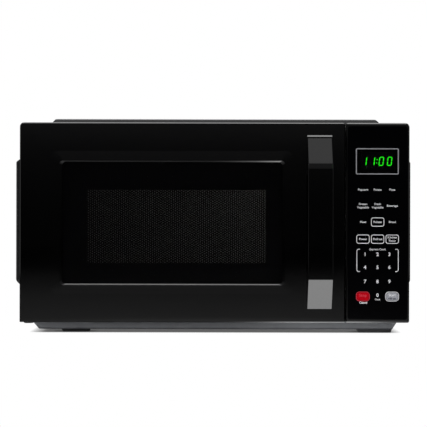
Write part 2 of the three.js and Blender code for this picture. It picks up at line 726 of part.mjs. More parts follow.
function buildHinges() {
  const { floor } = HINGE_POCKET;
  const low = [FRONT.bottom - 0.5 - HINGE.plate, FRONT.bottom - 0.5];
  const high = [floor + 3, floor + 3 + HINGE.plate];
  const lower = hingeBracket(low, [low[1] - 1, FRONT.bottom + 7], [low[0], low[1] + 24]);
  const upper = hingeBracket(high, [floor - 7, high[0] + 1], [high[0] - 22, high[1]]);
  add('lower_hinge_bracket', lower, FINISH.zinc);
  add('upper_hinge_bracket', upper, FINISH.zinc);
}

// ---------------------------------------------------------------- Door switches

/** A small switch with three blade terminals, and a well in front for its plunger. */
function switchBody() {
  const { depth, half: [halfX, halfZ] } = SWITCH;
  const body = box([-halfX, halfX], [0, depth], [-halfZ, halfZ]);
  const well = box([-2.4, 2.4], [-1, 6.5], [-3.4, 3.4]);
  const blade = [[-0.4, 0.4], [depth - 1, depth + 6]];
  const terminals = [-9, 0, 9].map((z) => box(...blade, [z - 2.4, z + 2.4]));
  return cut(join(body, ...terminals), well);
}

/** The moulding behind the front plate that holds the three switches, one above another. */
function interlockBracket() {
  const [halfX, halfZ] = SWITCH.half;
  const wallX = LATCH.x + halfX + CLEARANCE;
  const front = CAVITY.front;
  const plate = box([112, 140], [front, front + 2], [52, 200]);
  const wall = box([wallX, wallX + 2], [front + 1, -84], [52, 200]);
  const edges = SWITCHES.flatMap(([, z]) => [z - halfZ - CLEARANCE - 2.5, z + halfZ + CLEARANCE]);
  const ribs = edges.map((z) => box([LATCH.x - halfX, wallX + 1], [-108, -85], [z, z + 2.5]));
  return join(cut(plate, ...latchSlots([118, wallX], [front - 1, front + 3])), wall, ...ribs);
}

function buildSwitches() {
  add('interlock_bracket', interlockBracket(), FINISH.whitePlastic);
  for (const [name, z] of SWITCHES) {
    const place = groupAt(LATCH.x, SWITCH.front, z);
    add(name, switchBody(), FINISH.blackMatt, place);
    add(`${name}_plunger`, box([-2, 2], [-2.7, 4.5], [-3, 3]), FINISH.whitePlastic, place);
  }
}

// ---------------------------------------------------------------- Control panel

/** The seat in the panel's face for the display lens, cut through the film as well. */
function lensSeat() {
  const around = rounded(...DISPLAY.lens.map((range) => widen(range, CLEARANCE)), 3);
  return slab('y', around, [FRONT.face - 1, FRONT.face + 2]);
}

/** The control panel's hollow moulding, with seats for its film and lens and an opening for the digits. */
function panelHousing() {
  const { right, bottom, top, face, wall, corner } = FRONT;
  const x = [PANEL.left, right];
  const around = cornered(x, [bottom, top], [1, 2, corner, 2]);
  const outside = slab('y', around, [face, FRONT_PLATE.front - CLEARANCE], 3);
  const inner = cornered(widen(x, -wall), widen([bottom, top], -wall), [1, 1, corner - wall, 1]);
  const hollow = slab('y', inner, [face + wall, -110], 3);
  const film = rounded(...PANEL.film.map((range) => widen(range, CLEARANCE)), 3);
  const filmSeat = slab('y', film, [face - 1, face + PANEL.filmDepth]);
  const opening = slab('y', rounded(...DISPLAY.opening, 2), [face - 1, face + 4]);
  return cut(outside, hollow, filmSeat, lensSeat(), opening);
}

/** The control board: relays, a small supply, a buzzer, capacitors and a chip on one sheet. */
function controlBoard() {
  const board = slab('y', rounded([153, 216], [26, 216], 2), [-134, -132.4]);
  const relay = (x, z) => box([x, x + 20], [-133, -118], [z, z + 16]);
  const supply = box([158, 192], [-133, -119], [34, 64]);
  const buzzer = bar('y', [205, 48], 7, [-133, -122], 16);
  const capacitors = [[160, 150], [172, 150], [204, 120]].map((at) => bar('y', at, 5, [-133, -120], 12));
  const chip = box([176, 196], [-133, -129.5], [160, 172]);
  return join(board, relay(158, 76), relay(184, 76), relay(158, 100), supply, buzzer, chip, ...capacitors);
}

function buildControlPanel() {
  const { face } = FRONT;
  add('control_panel_housing', panelHousing(), FINISH.blackGloss);
  const film = slab('y', rounded(...PANEL.film, 3), [face + 0.05, face + PANEL.filmDepth - CLEARANCE]);
  add('keypad_overlay', cut(film, lensSeat()), FINISH.film);
  add('display_lens', slab('y', rounded(...DISPLAY.lens, 3), [face + 0.05, face + 1.7]), FINISH.glass);
  const digits = box([165, 203], [face + 3.2, -138], [184, 205]);
  const pins = box([167, 201], [-139, -134 - CLEARANCE], [186, 203]);
  add('display_module', join(digits, pins), FINISH.blackMatt);
  add('control_board', controlBoard(), FINISH.board);
}

// ---------------------------------------------------------------- Power parts

/** The duct that takes the waves from the magnetron to the cavity's port. */
function waveguide() {
  const x = [CAVITY.right + SHEET + CLEARANCE, MAGNETRON.x[0] - CLEARANCE];
  const y = widen(WAVE_PORT.y, 6);
  const z = widen(WAVE_PORT.z, 6);
  const flange = box([x[0], x[0] + SHEET], widen(y, 7), widen(z, 7));
  const duct = join(box(x, y, z), flange);
  const hollow = box([x[0] - 1, x[1] - SHEET], widen(y, -SHEET), widen(z, -SHEET));
  return cut(duct, hollow, bar('x', MAGNETRON.antenna, 14, [x[1] - 3, x[1] + 1], 24));
}

/** The magnetron: a steel yoke with two magnets, cooling fins, a filter box and the antenna's dome. */
function magnetron() {
  const { x, y, z, antenna } = MAGNETRON;
  const yoke = cut(box(x, y, z), box([x[0] + 3, x[1] - 3], widen(y, 1), [z[0] + 3, z[1] - 3]));
  const anode = bar('x', antenna, 19, [x[0] + 1, x[1] - 1], 16);
  const magnets = [x[0] + 2, x[1] - 14].map((from) => bar('x', antenna, 29, [from, from + 12], 16));
  const fins = [];
  for (let at = x[0] + 19; at < x[1] - 18; at += 9) {
    fins.push(box([at, at + 1.2], widen(y, -3), [z[0] + 2, z[1] - 2]));
  }
  const filter = box([x[1] - 0.5, x[1] + 13], [y[0] + 14, y[1] - 14], [z[0] + 12, z[1] - 12]);
  const dome = bar('x', antenna, 7.5, [x[0] - 15, x[0] + 2], 16);
  return join(yoke, anode, ...magnets, ...fins, filter, dome);
}

/** The high-voltage transformer: a laminated core on a base, with two windings round its middle leg. */
function transformer() {
  const core = box([113, 199], [-70, -10], [FLOOR + 1.5, FLOOR + 68]);
  const windows = [[134, 142], [170, 178]].map((x) => box(x, [-71, -9], [FLOOR + 18, FLOOR + 50]));
  const primary = slab('z', rounded([129, 183], [-84, 4], 12), [FLOOR + 19, FLOOR + 34], 3);
  const secondary = slab('z', rounded([131, 181], [-82, 2], 12), [FLOOR + 35, FLOOR + 49], 3);
  const tie = box([133, 179], [-60, -20], [FLOOR + 30, FLOOR + 40]);
  const base = slab('z', rounded([107, 203], [-72, -8], 4), [FLOOR, FLOOR + 2]);
  return join(cut(core, ...windows), primary, secondary, tie, base);
}

/** The oval capacitor can, with a rolled rim and two blade terminals. */
function capacitor() {
  const can = slab('z', rounded([132, 184], [22, 54], 15.5), [FLOOR, FLOOR + 96], 4);
  const terminals = [146, 170].map((x) => box([x - 3, x + 3], [37.5, 38.5], [FLOOR + 95, FLOOR + 106]));
  const rim = slab('z', rounded([130.5, 185.5], [20.5, 55.5], 16.5), [FLOOR + 93, FLOOR + 95], 4);
  return join(can, rim, ...terminals);
}

/** The diode on its lead, and the lug that earths it. */
function diode() {
  const body = bar('y', [202, 22], 4, [30, 52], 12);
  const lead = bar('y', [202, 22], 1, [20, 60], 8);
  const lug = slab('x', rounded([56, 66], [FLOOR, 26], 3), [201, 203]);
  return join(body, lead, lug);
}

/** The cavity lamp: a bulb in a holder, lying along X. */
function ovenLamp() {
  const bulb = turned([[0, 0], [5, 1], [9, 4.5], [10.5, 10], [9, 16], [6, 20], [6, 24], [0, 24]], 20);
  const holder = turned([[0, 21], [8.5, 21], [10, 23], [10, 38], [0, 38]], 20);
  const tabs = [-4, 4].map((y) => box([-0.4, 0.4], [y - 2, y + 2], [37, 45]));
  return laid(join(bulb, holder, ...tabs), 'x');
}

/** A disc thermostat on a slim plate. */
function thermalCutout() {
  const plate = slab('x', rounded([-14, 14], [-6, 6], 5), [0, 1.2]);
  const tabs = [-5, 5].map((y) => box([9, 17], [y - 2, y + 2], [-0.4, 0.4]));
  return join(plate, bar('x', [0, 0], 8, [0.5, 10], 20), ...tabs);
}

/** The mains filter: a ring choke, a film capacitor and a fuse in clips, on one board. */
function filterBoard() {
  const board = slab('z', rounded([124, 206], [-104, -46], 2), [206, 207.6]);
  const choke = bar('z', [184, -84], 14, [207, 224], 20);
  const film = box([150, 166], [-98, -76], [207, 222]);
  const fuse = bar('x', [-58, 213], 3.4, [134, 166], 12);
  const clips = [138, 156].map((x) => box([x, x + 6], [-60, -56], [207, 212]));
  return join(cut(join(board, choke), bar('z', [184, -84], 6, [209, 226], 16)), film, fuse, ...clips);
}

function buildPower() {
  add('waveguide', waveguide(), FINISH.zinc);
  add('magnetron', magnetron(), FINISH.zinc);
  add('high_voltage_transformer', transformer(), FINISH.copper);
  add('high_voltage_capacitor', capacitor(), FINISH.zinc);
  add('high_voltage_diode', diode(), FINISH.blackMatt);
  const wall = CAVITY.right + SHEET + CLEARANCE;
  add('oven_lamp', ovenLamp(), FINISH.whitePlastic, groupAt(wall + 2, LAMP.y, LAMP.z));
  add('thermal_cutout', thermalCutout(), FINISH.blackMatt, groupAt(wall, -66, 132));
  add('line_filter_board', filterBoard(), FINISH.board);
}

// ---------------------------------------------------------------- Cooling fan

/** A blade from the hub to the tip. It lies flatter and wider towards the tip. */
function fanBlade() {
  const section = (radius, chord, pitch) => {
    const angle = THREE.MathUtils.degToRad(pitch);
    const along = [Math.cos(angle), Math.sin(angle)];
    const across = [-along[1], along[0]];
    return [[-1, -1], [1, -1], [1, 1], [-1, 1]].map(([a, b]) => [
      (a * chord * along[0]) / 2 + b * 0.7 * across[0],
      (a * chord * along[1]) / 2 + b * 0.7 * across[1],
      radius,
    ]);
  };
  return loft([section(FAN.hub - 3, 15, 42), section(30, 26, 32), section(FAN.radius, 36, 22)]);
}

/** The fan: five blades on a hub, with its shaft. */
function fanRotor() {
  const blade = fanBlade();
  const step = 360 / FAN.blades;
  const blades = Array.from({ length: FAN.blades }, (_, i) => blade.rotate([0, i * step, 0]));
  const hub = bar('y', [0, 0], FAN.hub, [-8, 9], 24);
  return join(hub, bar('y', [0, 0], 2.4, [5, 32], 12), ...blades);
}

/** The plate round the fan, with a collar and two arms for the motor. */
function fanShroud() {
  const plate = box([104, 214], [-14, -12], [118, 228]).translate([-FAN.x, 0, -FAN.z]);
  const collar = bar('y', [0, 0], FAN.opening + 2, [-13, 12], 32);
  const arms = [-1, 1].map((way) => box([way * 46 - 4, way * 46 + 4], [11, 17], [-24, 24]));
  return cut(join(plate, collar, ...arms), bar('y', [0, 0], FAN.opening, [-20, 12.5], 32));
}

/** A shaded-pole motor: a laminated core, a coil at one side, and a bridge to the shroud's arms. */
function fanMotor() {
  const core = box([-30, 30], [18, 36], [-24, 24]);
  const mouth = box([10, 22], [17, 37], [-12, 12]);
  const coil = slab('z', rounded([13.5, 36], [13.5, 40.5], 5), [-11, 11], 2);
  const bore = bar('y', [0, 0], 3.2, [10, 50], 16);
  const straps = [-1, 1].map((way) => box([way * 46 - 4, way * 46 + 4], [17.3, 20], [-6, 6]));
  const bridge = box([-47, 47], [18, 20], [-6, 6]);
  return cut(join(cut(core, mouth), coil, bridge, ...straps), bore);
}

function buildFan() {
  const centre = groupAt(FAN.x, FAN.y, FAN.z);
  add('fan_shroud', fanShroud(), FINISH.blackMatt, centre);
  add('fan_blade', fanRotor(), FINISH.whitePlastic, centre);
  add('fan_motor', fanMotor(), FINISH.zinc, centre);
}

// ---------------------------------------------------------------- All together

buildCasing();
buildCavity();
buildTurntable();
buildDoor();
buildHinges();
buildSwitches();
buildControlPanel();
buildPower();
buildFan();

export default oven;
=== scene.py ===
"""The looks of a microwave oven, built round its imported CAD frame.

Every length is in millimetres until a mesh is made, and places come from the boxes of the CAD nodes.
"""

import json
import math

import bmesh
import bpy
from mathutils import Matrix, Vector


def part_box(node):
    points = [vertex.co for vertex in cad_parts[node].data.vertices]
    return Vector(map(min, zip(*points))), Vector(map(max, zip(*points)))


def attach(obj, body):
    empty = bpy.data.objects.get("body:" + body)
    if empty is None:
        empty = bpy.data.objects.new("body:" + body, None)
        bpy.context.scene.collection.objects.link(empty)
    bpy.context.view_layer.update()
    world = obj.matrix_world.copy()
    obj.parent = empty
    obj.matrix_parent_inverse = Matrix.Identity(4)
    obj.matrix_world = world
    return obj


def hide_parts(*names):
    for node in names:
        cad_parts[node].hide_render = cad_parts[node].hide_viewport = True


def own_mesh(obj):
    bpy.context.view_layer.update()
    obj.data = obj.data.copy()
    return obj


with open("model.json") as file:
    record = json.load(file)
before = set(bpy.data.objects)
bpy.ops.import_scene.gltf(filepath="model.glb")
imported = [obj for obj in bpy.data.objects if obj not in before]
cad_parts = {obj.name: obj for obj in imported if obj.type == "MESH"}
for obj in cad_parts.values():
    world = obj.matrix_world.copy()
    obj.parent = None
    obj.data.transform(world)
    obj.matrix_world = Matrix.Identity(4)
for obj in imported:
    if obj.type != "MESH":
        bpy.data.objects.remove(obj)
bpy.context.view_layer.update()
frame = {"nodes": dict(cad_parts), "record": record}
NODES = frame["nodes"]
MM = 0.001

# -------- Driving sizes, in millimetres


def limits(node):
    """The (low, high) pairs of a CAD node along x, y and z."""
    low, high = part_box(node)
    return [(low[axis] / MM, high[axis] / MM) for axis in range(3)]


def widened(span, amount):
    """A (low, high) pair moved outwards by amount at both ends."""
    return (span[0] - amount, span[1] + amount)


DOOR_X, DOOR_Y, DOOR_Z = limits("door_outer_frame")
PANEL_X, PANEL_Y, PANEL_Z = limits("control_panel_housing")
FILM_X, FILM_Y, FILM_Z = limits("keypad_overlay")
LENS_X, _, LENS_Z = limits("display_lens")
HANDLE_X, HANDLE_Y, HANDLE_Z = limits("door_handle")
PANE_X, _, PANE_Z = limits("door_window")
SHEET_X, _, SHEET_Z = limits("door_inner_sheet")
SCREEN_X, SCREEN_Y, SCREEN_Z = limits("door_screen")
COVER_X, COVER_Y, COVER_Z = limits("door_inner_cover")
SPRING_X, SPRING_Y, SPRING_Z = limits("latch_spring")
TRAY_X, TRAY_Y, TRAY_Z = limits("glass_turntable")
CASING_X, CASING_Y, CASING_Z = limits("outer_casing")
CAVITY_X = (limits("cavity_left_wall")[0][1], limits("cavity_right_wall")[0][0])
CAVITY_REAR = limits("cavity_rear_wall")[1][0]
MODULE_FACE = limits("display_module")[1][0]

# Camera and lights, in metres, watts and degrees.
LENS = 165.3
CAMERA_PLACE = (0.0003, -2.352, 0.1363)
CAMERA_ROLL = -0.12
SOFTBOXES = [
    ("overhead", (0, 0.35, 1.5), (0, 0.35, 0), (1.6, 1.1), 4.8),
    ("overhead_front", (0, -0.62, 1.45), (0, -0.3, 0), (1.6, 0.8), 0.72),
    ("left_side", (-1.7, 0.0, 0.62), (0, 0, 0.62), (1.6, 1.2), 0.5),
    ("right_side", (1.7, 0.0, 0.62), (0, 0, 0.62), (1.6, 1.2), 0.35),
    ("front_fill", (0, -2.6, 0.55), (0, 0, 0.12), (2.0, 1.0), 4.2),
    ("behind", (0, 2.2, 0.9), (0, 0, 0.15), (2.0, 1.0), 0.8),
]
OVEN_LAMP_PLACE = (0.055, -0.03, 0.185)
OVEN_LAMP_POWER = 0.17
OVEN_LAMP_COLOR = (1.0, 0.95, 0.88)
SKY_LEVELS = ((0.0, 0.014), (0.02, 0.03), (0.036, 0.06), (0.05, 0.13), (0.3, 0.2))
SKY_BLUE = 1.03

# The table: its grey by distance from the oven, a painted pool of light, and the bright patch that the
# handle mirrors.
TABLE_SIZE = 6
TABLE_REACH = 3.0
TABLE_POOL_LEVELS = ((0.32, 0.75), (0.5, 0.28), (1.2, 0.24), (1.6, 0.15), (2.1, 0.06), (2.8, 0.01))
SHADOW_REACH = 0.011
SHEEN_CENTRE = (0.125, -0.18, 0)
SHEEN_HALF = (0.012, 0.0, 0.0)
SHEEN_REACH = 0.12
SHEEN_LEVELS = ((0.32, 1.0), (0.55, 0.3), (0.8, 0.06), (1.0, 0.0))
SHEEN_STRENGTH = 4.6

# The width of the rounded edges of CAD nodes.
EASED = {"outer_casing": 1.6, "base_plate": 0.8, "back_panel": 0.8, "door_inner_cover": 0.6}
DEFAULT_EASE = 0.25

# Door and panel mouldings. Both reach a little above their CAD shapes.
CROWN = 0.35
DOOR_Z = (DOOR_Z[0], DOOR_Z[1] + CROWN)
PANEL_Z = (PANEL_Z[0], PANEL_Z[1] + CROWN)
WALL = 2.5
DOOR_CORNERS = (1, 1, 2, 5)
PANEL_CORNERS = (1, 2, 5, 2)
DOOR_EDGE = 1.2
PANEL_EDGE = 1.5
EDGE_PROFILE = ((1.0, 0.0), (0.8, 0.04), (0.12, 0.72), (0.02, 0.86), (0.0, 1.0))
REAR_CHAMFER = 3
WINDOW_X = (PANE_X[0] + 6.2, PANE_X[1] - 9.4)
WINDOW_Z = (PANE_Z[0] + 8.2, PANE_Z[1] - 7.7)
WINDOW_CORNER = 4
WINDOW_BEVEL = (3.0, 1.5)
BEVEL_PROFILE = ((0.05, 0.95), (0.95, 0.04), (1.0, 0.0))
BORDER_RISE = 0.08
BORDER_X = (PANE_X[0] - 6, PANE_X[1] + 2.5)
BORDER_Z = (PANE_Z[0] - 3, PANE_Z[1] + 4.7)
BORDER_CORNER = 7

# The notch for the upper hinge plate, and the hole for the lower pin.
WELL_RIGHT = -196
WELL_FRONT = -141
WELL_FLOOR = 229.5
WELL_REAR_GAP = 2.6
HINGE_PIN = (-209, -131)
PIN_HOLE_RADIUS = 3.1
PIN_HOLE_DEPTH = 9

# Handle.
LOWER_SLOPE = 34.5
UPPER_SLOPE = 33.5
FINGER_GAP_Z = (74, 178)
FINGER_GAP_FRONT = -166
HANDLE_EASE = 1.0

# Door screen, inner cover and latch spring.
PATTERN_X = widened(SHEET_X, -5.5)
PATTERN_Z = widened(SHEET_Z, -5.5)
HOLE_PITCH = 2.7
HOLE_RADIUS = 0.7
SCREEN_SHEET = 1.0
VIEW_MARGIN = 15
COVER_BEAD_X = (COVER_X[0] + 24.5, COVER_X[1] - 35.2)
COVER_BEAD_Z = widened(COVER_Z, -9.2)
BEAD_HEIGHT = 0.45
BEAD_WIDTH = 2.2
WIRE = 0.7
COIL_TURNS = 7
CLOSED_TURN = 1.5

# Cavity.
REAR_RIB_X = widened(CAVITY_X, -26)
REAR_RIB_Z = (96, 206)
LEFT_RIB_Y = (-86, 132)
LEFT_RIB_Z = (96, 182)
RIB_CORNER = 12
RIB_RISE = 1.4
RIB_WIDTH = 7

# Print on the keypad film. A row is its level, its words, and the columns with a box.
PRINT_FRONT = FILM_Y[0] - 0.04
PRINT_BACK = FILM_Y[0] + 0.05
KEYS_CENTRE = sum(FILM_X) / 2
COLUMNS = (-16.4, 0, 16.4)
DIGIT_COLUMNS = (-14, 0, 13.3)
KEY_ROWS = [
    (163.3, ("Popcorn", "Potato", "Pizza"), ()),
    (145.3, ("Frozen\nVegetable", "Fresh\nVegetable", "Beverage"), ()),
    (127.1, ("Meat", "Reheat", "Bread"), (1,)),
    (107.9, ("Power", "Defrost", "Kitchen\nTimer"), (0, 1, 2)),
]
DIGIT_ROWS = [(90.7, "123"), (76.1, "456"), (60.2, "789")]
LAST_ROW = 43.5
HEADING_LEVEL = 96.4
WORD_HEIGHT = 2.4
LINE_STEP = 3.8
DIGIT_HEIGHT = 4.0
DIGIT_BOLD = 0.035
KEY_BOX = (14.8, 10.1)
PILL = (15.4, 10.8)
# Name, fill, line, column, word, the word's rise over the row, and its height.
PILL_KEYS = [
    ("stop", "stop_ink", "stop_line_ink", 0, "Stop", 1.2, 3.4),
    ("start", "start_ink", "legend_ink", 2, "Start", 1.6, 3.0),
]
BRACKET = {"line": 0.75, "reach": 3.8, "radius": 2.4, "low": 71.2, "high": 97.0, "half": 23.6}

# Display: the bars of a digit, on a square of side 1, and where each digit of the clock stands.
SEGMENTS = {
    "top": ((0, 1), (1, 1)),
    "upper_left": ((0, 0.5), (0, 1)),
    "upper_right": ((1, 0.5), (1, 1)),
    "lower_left": ((0, 0), (0, 0.5)),
    "lower_right": ((1, 0), (1, 0.5)),
    "bottom": ((0, 0), (1, 0)),
}
ONE = ("upper_right", "lower_right")
ZERO = tuple(SEGMENTS)
CLOCK = ((169.2, ONE), (178.2, ONE), (188.2, ZERO), (197.5, ZERO))
DIGIT = {"height": 9.2, "width": 4.4, "line": 1.0, "slant": 0.12, "base": 190.8}
COLON_X = 183.2
COLON_DOT = 0.6

# Turntable tray.
TRAY_DEPTH = 12
TRAY_THICKNESS = 4.4
LUG_REACH = (10.5, 17)
LUG_WIDTH = (-4, 4)
LUG_ANGLES = (60, 180, 300)

# Casing: pressed fields are (low, high, run of the low slope, run of the high slope).
CASING_SHEET = 0.9
SIDE_RISE = 7.2
ROOF_RISE = 6.0
BEND = 6.0
BEND_STEPS = 6
FIELD_EASE = 0.3
FIELD_Y = (-104, 150, 5.0, 6.0)
SIDE_FIELD_Z = (49.5, 201.3, 11.0, 6.9)
ROOF_FIELD_X = (-188, 194, 8.0, 9.0)
SLOT_Z = (208, 228)
SLOT_YS = [28 + 13 * i for i in range(8)]
SLOT_WIDTH = 6

# -------- Materials


def surface(name, color, roughness, metallic=0.0, **sockets):
    """A new principled material. Extra sockets are named with underscores for spaces."""
    mat = bpy.data.materials.new(name)
    mat.use_nodes = True
    shader = mat.node_tree.nodes["Principled BSDF"]
    shader.inputs["Base Color"].default_value = (*color, 1)
    shader.inputs["Roughness"].default_value = roughness
    shader.inputs["Metallic"].default_value = metallic
    for socket, value in sockets.items():
        shader.inputs[socket.replace("_", " ")].default_value = value
    return mat


def add_node(mat, kind, **values):
    """A new node; values are set on its sockets, and lower-case ones on the node itself."""
    node = mat.node_tree.nodes.new(kind)
    for key, value in values.items():
        if key[0].islower():
            setattr(node, key, value)
        else:
            node.inputs[key.replace("_", " ")].default_value = value
    return node


def link(mat, source, target):
    """Joins two sockets of a material's nodes, or of the world's."""
    mat.node_tree.links.new(source, target)


def shader_of(mat):
    """The principled shader of a material."""
    return mat.node_tree.nodes["Principled BSDF"]


def place(mat):
    """The point on the object, in metres."""
    return add_node(mat, "ShaderNodeTexCoord").outputs["Object"]


def noise(mat, scale, detail=3.0):
    """A cloudy pattern, with about that many patches to the metre."""
    texture = add_node(mat, "ShaderNodeTexNoise", Scale=scale, Detail=detail)
    link(mat, place(mat), texture.inputs["Vector"])
    return texture.outputs["Fac"]


def cells(mat, scale, output="Color"):
    """A pattern of irregular cells, with about that many to the metre."""
    texture = add_node(mat, "ShaderNodeTexVoronoi", Scale=scale)
    link(mat, place(mat), texture.inputs["Vector"])
    return texture.outputs[output]


def vary_roughness(mat, pattern, low, high):
    """Lets the roughness follow a pattern, from low to high."""
    ranged = add_node(mat, "ShaderNodeMapRange", To_Min=low, To_Max=high)
    link(mat, pattern, ranged.inputs["Value"])
    link(mat, ranged.outputs["Result"], shader_of(mat).inputs["Roughness"])


def fill_ramp(ramp, stops):
    """Sets a ramp node's stops from (position, colour) pairs, low to high."""
    elements = ramp.color_ramp.elements
    while len(elements) < len(stops):
        elements.new(0.5)
    for element, (position, color) in zip(elements, stops):
        element.position = position
        element.color = (*color, 1)


def vary_color(mat, pattern, stops):
    """Lets the colour follow a pattern, through (position, colour) stops."""
    ramp = add_node(mat, "ShaderNodeValToRGB")
    fill_ramp(ramp, stops)
    link(mat, pattern, ramp.inputs["Fac"])
    link(mat, ramp.outputs["Color"], shader_of(mat).inputs["Base Color"])


def emboss(mat, pattern, height, strength=1.0):
    """A bump of that height in millimetres, over any bump that is there already."""
    normal = shader_of(mat).inputs["Normal"]
    bump = add_node(mat, "ShaderNodeBump", Strength=strength, Distance=height * MM)
    if normal.is_linked:
        link(mat, normal.links[0].from_socket, bump.inputs["Normal"])
    link(mat, pattern, bump.inputs["Height"])
    link(mat, bump.outputs["Normal"], normal)


def black_gloss(name, shade, roughness):
    """Moulded black plastic with a polished face: a faint ripple and a few dull patches."""
    mat = surface(name, (shade, shade, shade * 1.06), roughness)
    vary_roughness(mat, noise(mat, 9, 4), roughness * 0.7, roughness * 1.4)
    emboss(mat, noise(mat, 60, 1), 0.006)
    return mat


def painted_steel():
    """Black powder paint, with its fine orange peel."""
    mat = surface("casing_paint", (0.008, 0.008, 0.009), 0.32)
    vary_color(mat, noise(mat, 35, 5), [(0.3, (0.006, 0.006, 0.0065)), (0.7, (0.010, 0.010, 0.011))])
    vary_roughness(mat, noise(mat, 90, 3), 0.2, 0.3)
    emboss(mat, noise(mat, 900, 2), 0.05, 0.5)
    return mat


def zinc():
    """Galvanised sheet: soft spangles of slightly different grey and gloss."""
    mat = surface("zinc_steel", (0.5, 0.5, 0.5), 0.38, 1.0)
    grey = add_node(mat, "ShaderNodeRGBToBW")
    link(mat, cells(mat, 170), grey.inputs["Color"])
    vary_color(mat, grey.outputs["Val"], [(0.2, (0.465, 0.465, 0.4743)), (0.8, (0.525, 0.525, 0.5355))])
    vary_roughness(mat, grey.outputs["Val"], 0.36, 0.44)
    emboss(mat, noise(mat, 1500, 2), 0.01, 0.4)
    return mat


def pan_paint():
    """The grey coat of the pan under the oven, with painted shade darkening its lowest edge."""
    mat = surface("pan_coat", (0.42, 0.43, 0.46), 0.5, Specular_IOR_Level=0.2)
    # Painted shade: the colour darkens towards the pan's lowest edge, over its bottom few millimetres; a
    # noise adds random tone.
    edge_shade = add_node(mat, "ShaderNodeMapRange", From_Min=0.0036, From_Max=0.0062, To_Max=0.5)
    height = add_node(mat, "ShaderNodeSeparateXYZ")
    tone_and_shade = add_node(mat, "ShaderNodeMath", operation="MULTIPLY_ADD")
    tone_and_shade.inputs[1].default_value = 0.3
    link(mat, place(mat), height.inputs["Vector"])
    link(mat, height.outputs["Z"], edge_shade.inputs["Value"])
    link(mat, noise(mat, 60, 4), tone_and_shade.inputs[0])
    link(mat, edge_shade.outputs["Result"], tone_and_shade.inputs[2])
    vary_color(mat, tone_and_shade.outputs["Value"], [
        (0.1, (0.05, 0.05, 0.055)),
        (0.4, (0.20, 0.205, 0.22)),
        (0.6, (0.34, 0.35, 0.37)),
        (0.75, (0.39, 0.40, 0.42)),
    ])
    emboss(mat, noise(mat, 1200, 2), 0.02, 0.5)
    return mat


def cavity_enamel():
    """Pale grey cavity paint with a fine speckle."""
    mat = surface("cavity_paint", (0.56, 0.56, 0.54), 0.35)
    speckle = cells(mat, 1400, "Distance")
    vary_color(mat, speckle, [(0.1, (0.34, 0.34, 0.33)), (0.45, (0.60, 0.60, 0.575))])
    vary_roughness(mat, noise(mat, 50, 3), 0.28, 0.42)
    emboss(mat, noise(mat, 1100, 2), 0.03, 0.5)
    return mat


def film():
    """The keypad's polyester film, black from behind."""
    mat = surface("keypad_film", (0.0003, 0.0003, 0.0006), 0.2, Specular_IOR_Level=0.05)
    vary_roughness(mat, noise(mat, 30, 3), 0.16, 0.24)
    emboss(mat, noise(mat, 700, 2), 0.004, 0.5)
    return mat


def glass(name, tint, roughness=0.01, ior=1.5):
    """Clear or tinted glass, with faint smears."""
    mat = surface(name, tint, roughness, Transmission_Weight=1.0, IOR=ior)
    vary_roughness(mat, noise(mat, 14, 3), roughness * 0.5, roughness * 2)
    return mat


def matt_plastic(name, shade, roughness, texture=0.03):
    """Spark-eroded moulding: an even fine grain."""
    dark = [channel * 0.85 for channel in shade]
    mat = surface(name, shade, roughness)
    vary_color(mat, noise(mat, 25, 4), [(0.3, dark), (0.75, shade)])
    vary_roughness(mat, noise(mat, 60, 3), roughness * 0.88, min(1, roughness * 1.12))
    emboss(mat, noise(mat, 1300, 3), texture, 0.6)
    return mat


def screen_paint():
    """Matt black paint on the folded steel behind the window."""
    mat = surface("screen_paint", (0.005, 0.005, 0.005), 0.5)
    vary_roughness(mat, noise(mat, 120, 3), 0.42, 0.6)
    emboss(mat, noise(mat, 1500, 2), 0.02, 0.5)
    return mat


def board():
    """A resin board: blocks of copper show through it as slightly paler patches."""
    mat = surface("circuit_board", (0.19, 0.13, 0.05), 0.45)
    copper = add_node(mat, "ShaderNodeTexVoronoi", Scale=170.0, distance="CHEBYCHEV")
    link(mat, place(mat), copper.inputs["Vector"])
    vary_color(mat, copper.outputs["Distance"], [(0.2, (0.21, 0.145, 0.055)), (0.6, (0.15, 0.10, 0.035))])
    vary_roughness(mat, noise(mat, 90), 0.35, 0.6)
    emboss(mat, copper.outputs["Distance"], 0.05, 0.5)
    return mat


def mica():
    """Pressed mica: silvery flakes in a warm grey sheet."""
    mat = surface("mica", (0.42, 0.37, 0.28), 0.4)
    vary_color(mat, noise(mat, 160, 6), [(0.35, (0.30, 0.26, 0.19)), (0.7, (0.55, 0.50, 0.40))])
    vary_roughness(mat, cells(mat, 400, "Distance"), 0.25, 0.6)
    emboss(mat, cells(mat, 400, "Distance"), 0.05, 0.5)
    return mat


def winding():
    """Enamelled copper wire, wound in level turns, with painted shade in the grooves between the turns."""
    mat = surface("winding_copper", (0.42, 0.16, 0.06), 0.34, 0.85)
    turns = add_node(mat, "ShaderNodeTexWave", Scale=150.0, Distortion=0.4, bands_direction="Z")
    link(mat, place(mat), turns.inputs["Vector"])
    # Painted shade: the colour darkens where the bump dips, in the grooves between turns.
    vary_color(mat, turns.outputs["Fac"], [(0.1, (0.16, 0.055, 0.02)), (0.6, (0.48, 0.19, 0.075))])
    emboss(mat, turns.outputs["Fac"], 0.35, 0.8)
    return mat


def rubber():
    """Dark grey moulded rubber."""
    mat = surface("rubber_feet", (0.05, 0.05, 0.052), 0.75)
    vary_color(mat, noise(mat, 70, 4), [(0.3, (0.04, 0.04, 0.042)), (0.7, (0.065, 0.065, 0.067))])
    emboss(mat, noise(mat, 1000, 3), 0.05, 0.6)
    return mat


def ink(name, color, roughness=0.4, gloss=0.5):
    """Screen-printed ink, thinner in places."""
    mat = surface(name, color, roughness, Specular_IOR_Level=gloss)
    thin = [channel * 0.8 for channel in color]
    vary_color(mat, noise(mat, 600, 3), [(0.25, thin), (0.6, color)])
    return mat


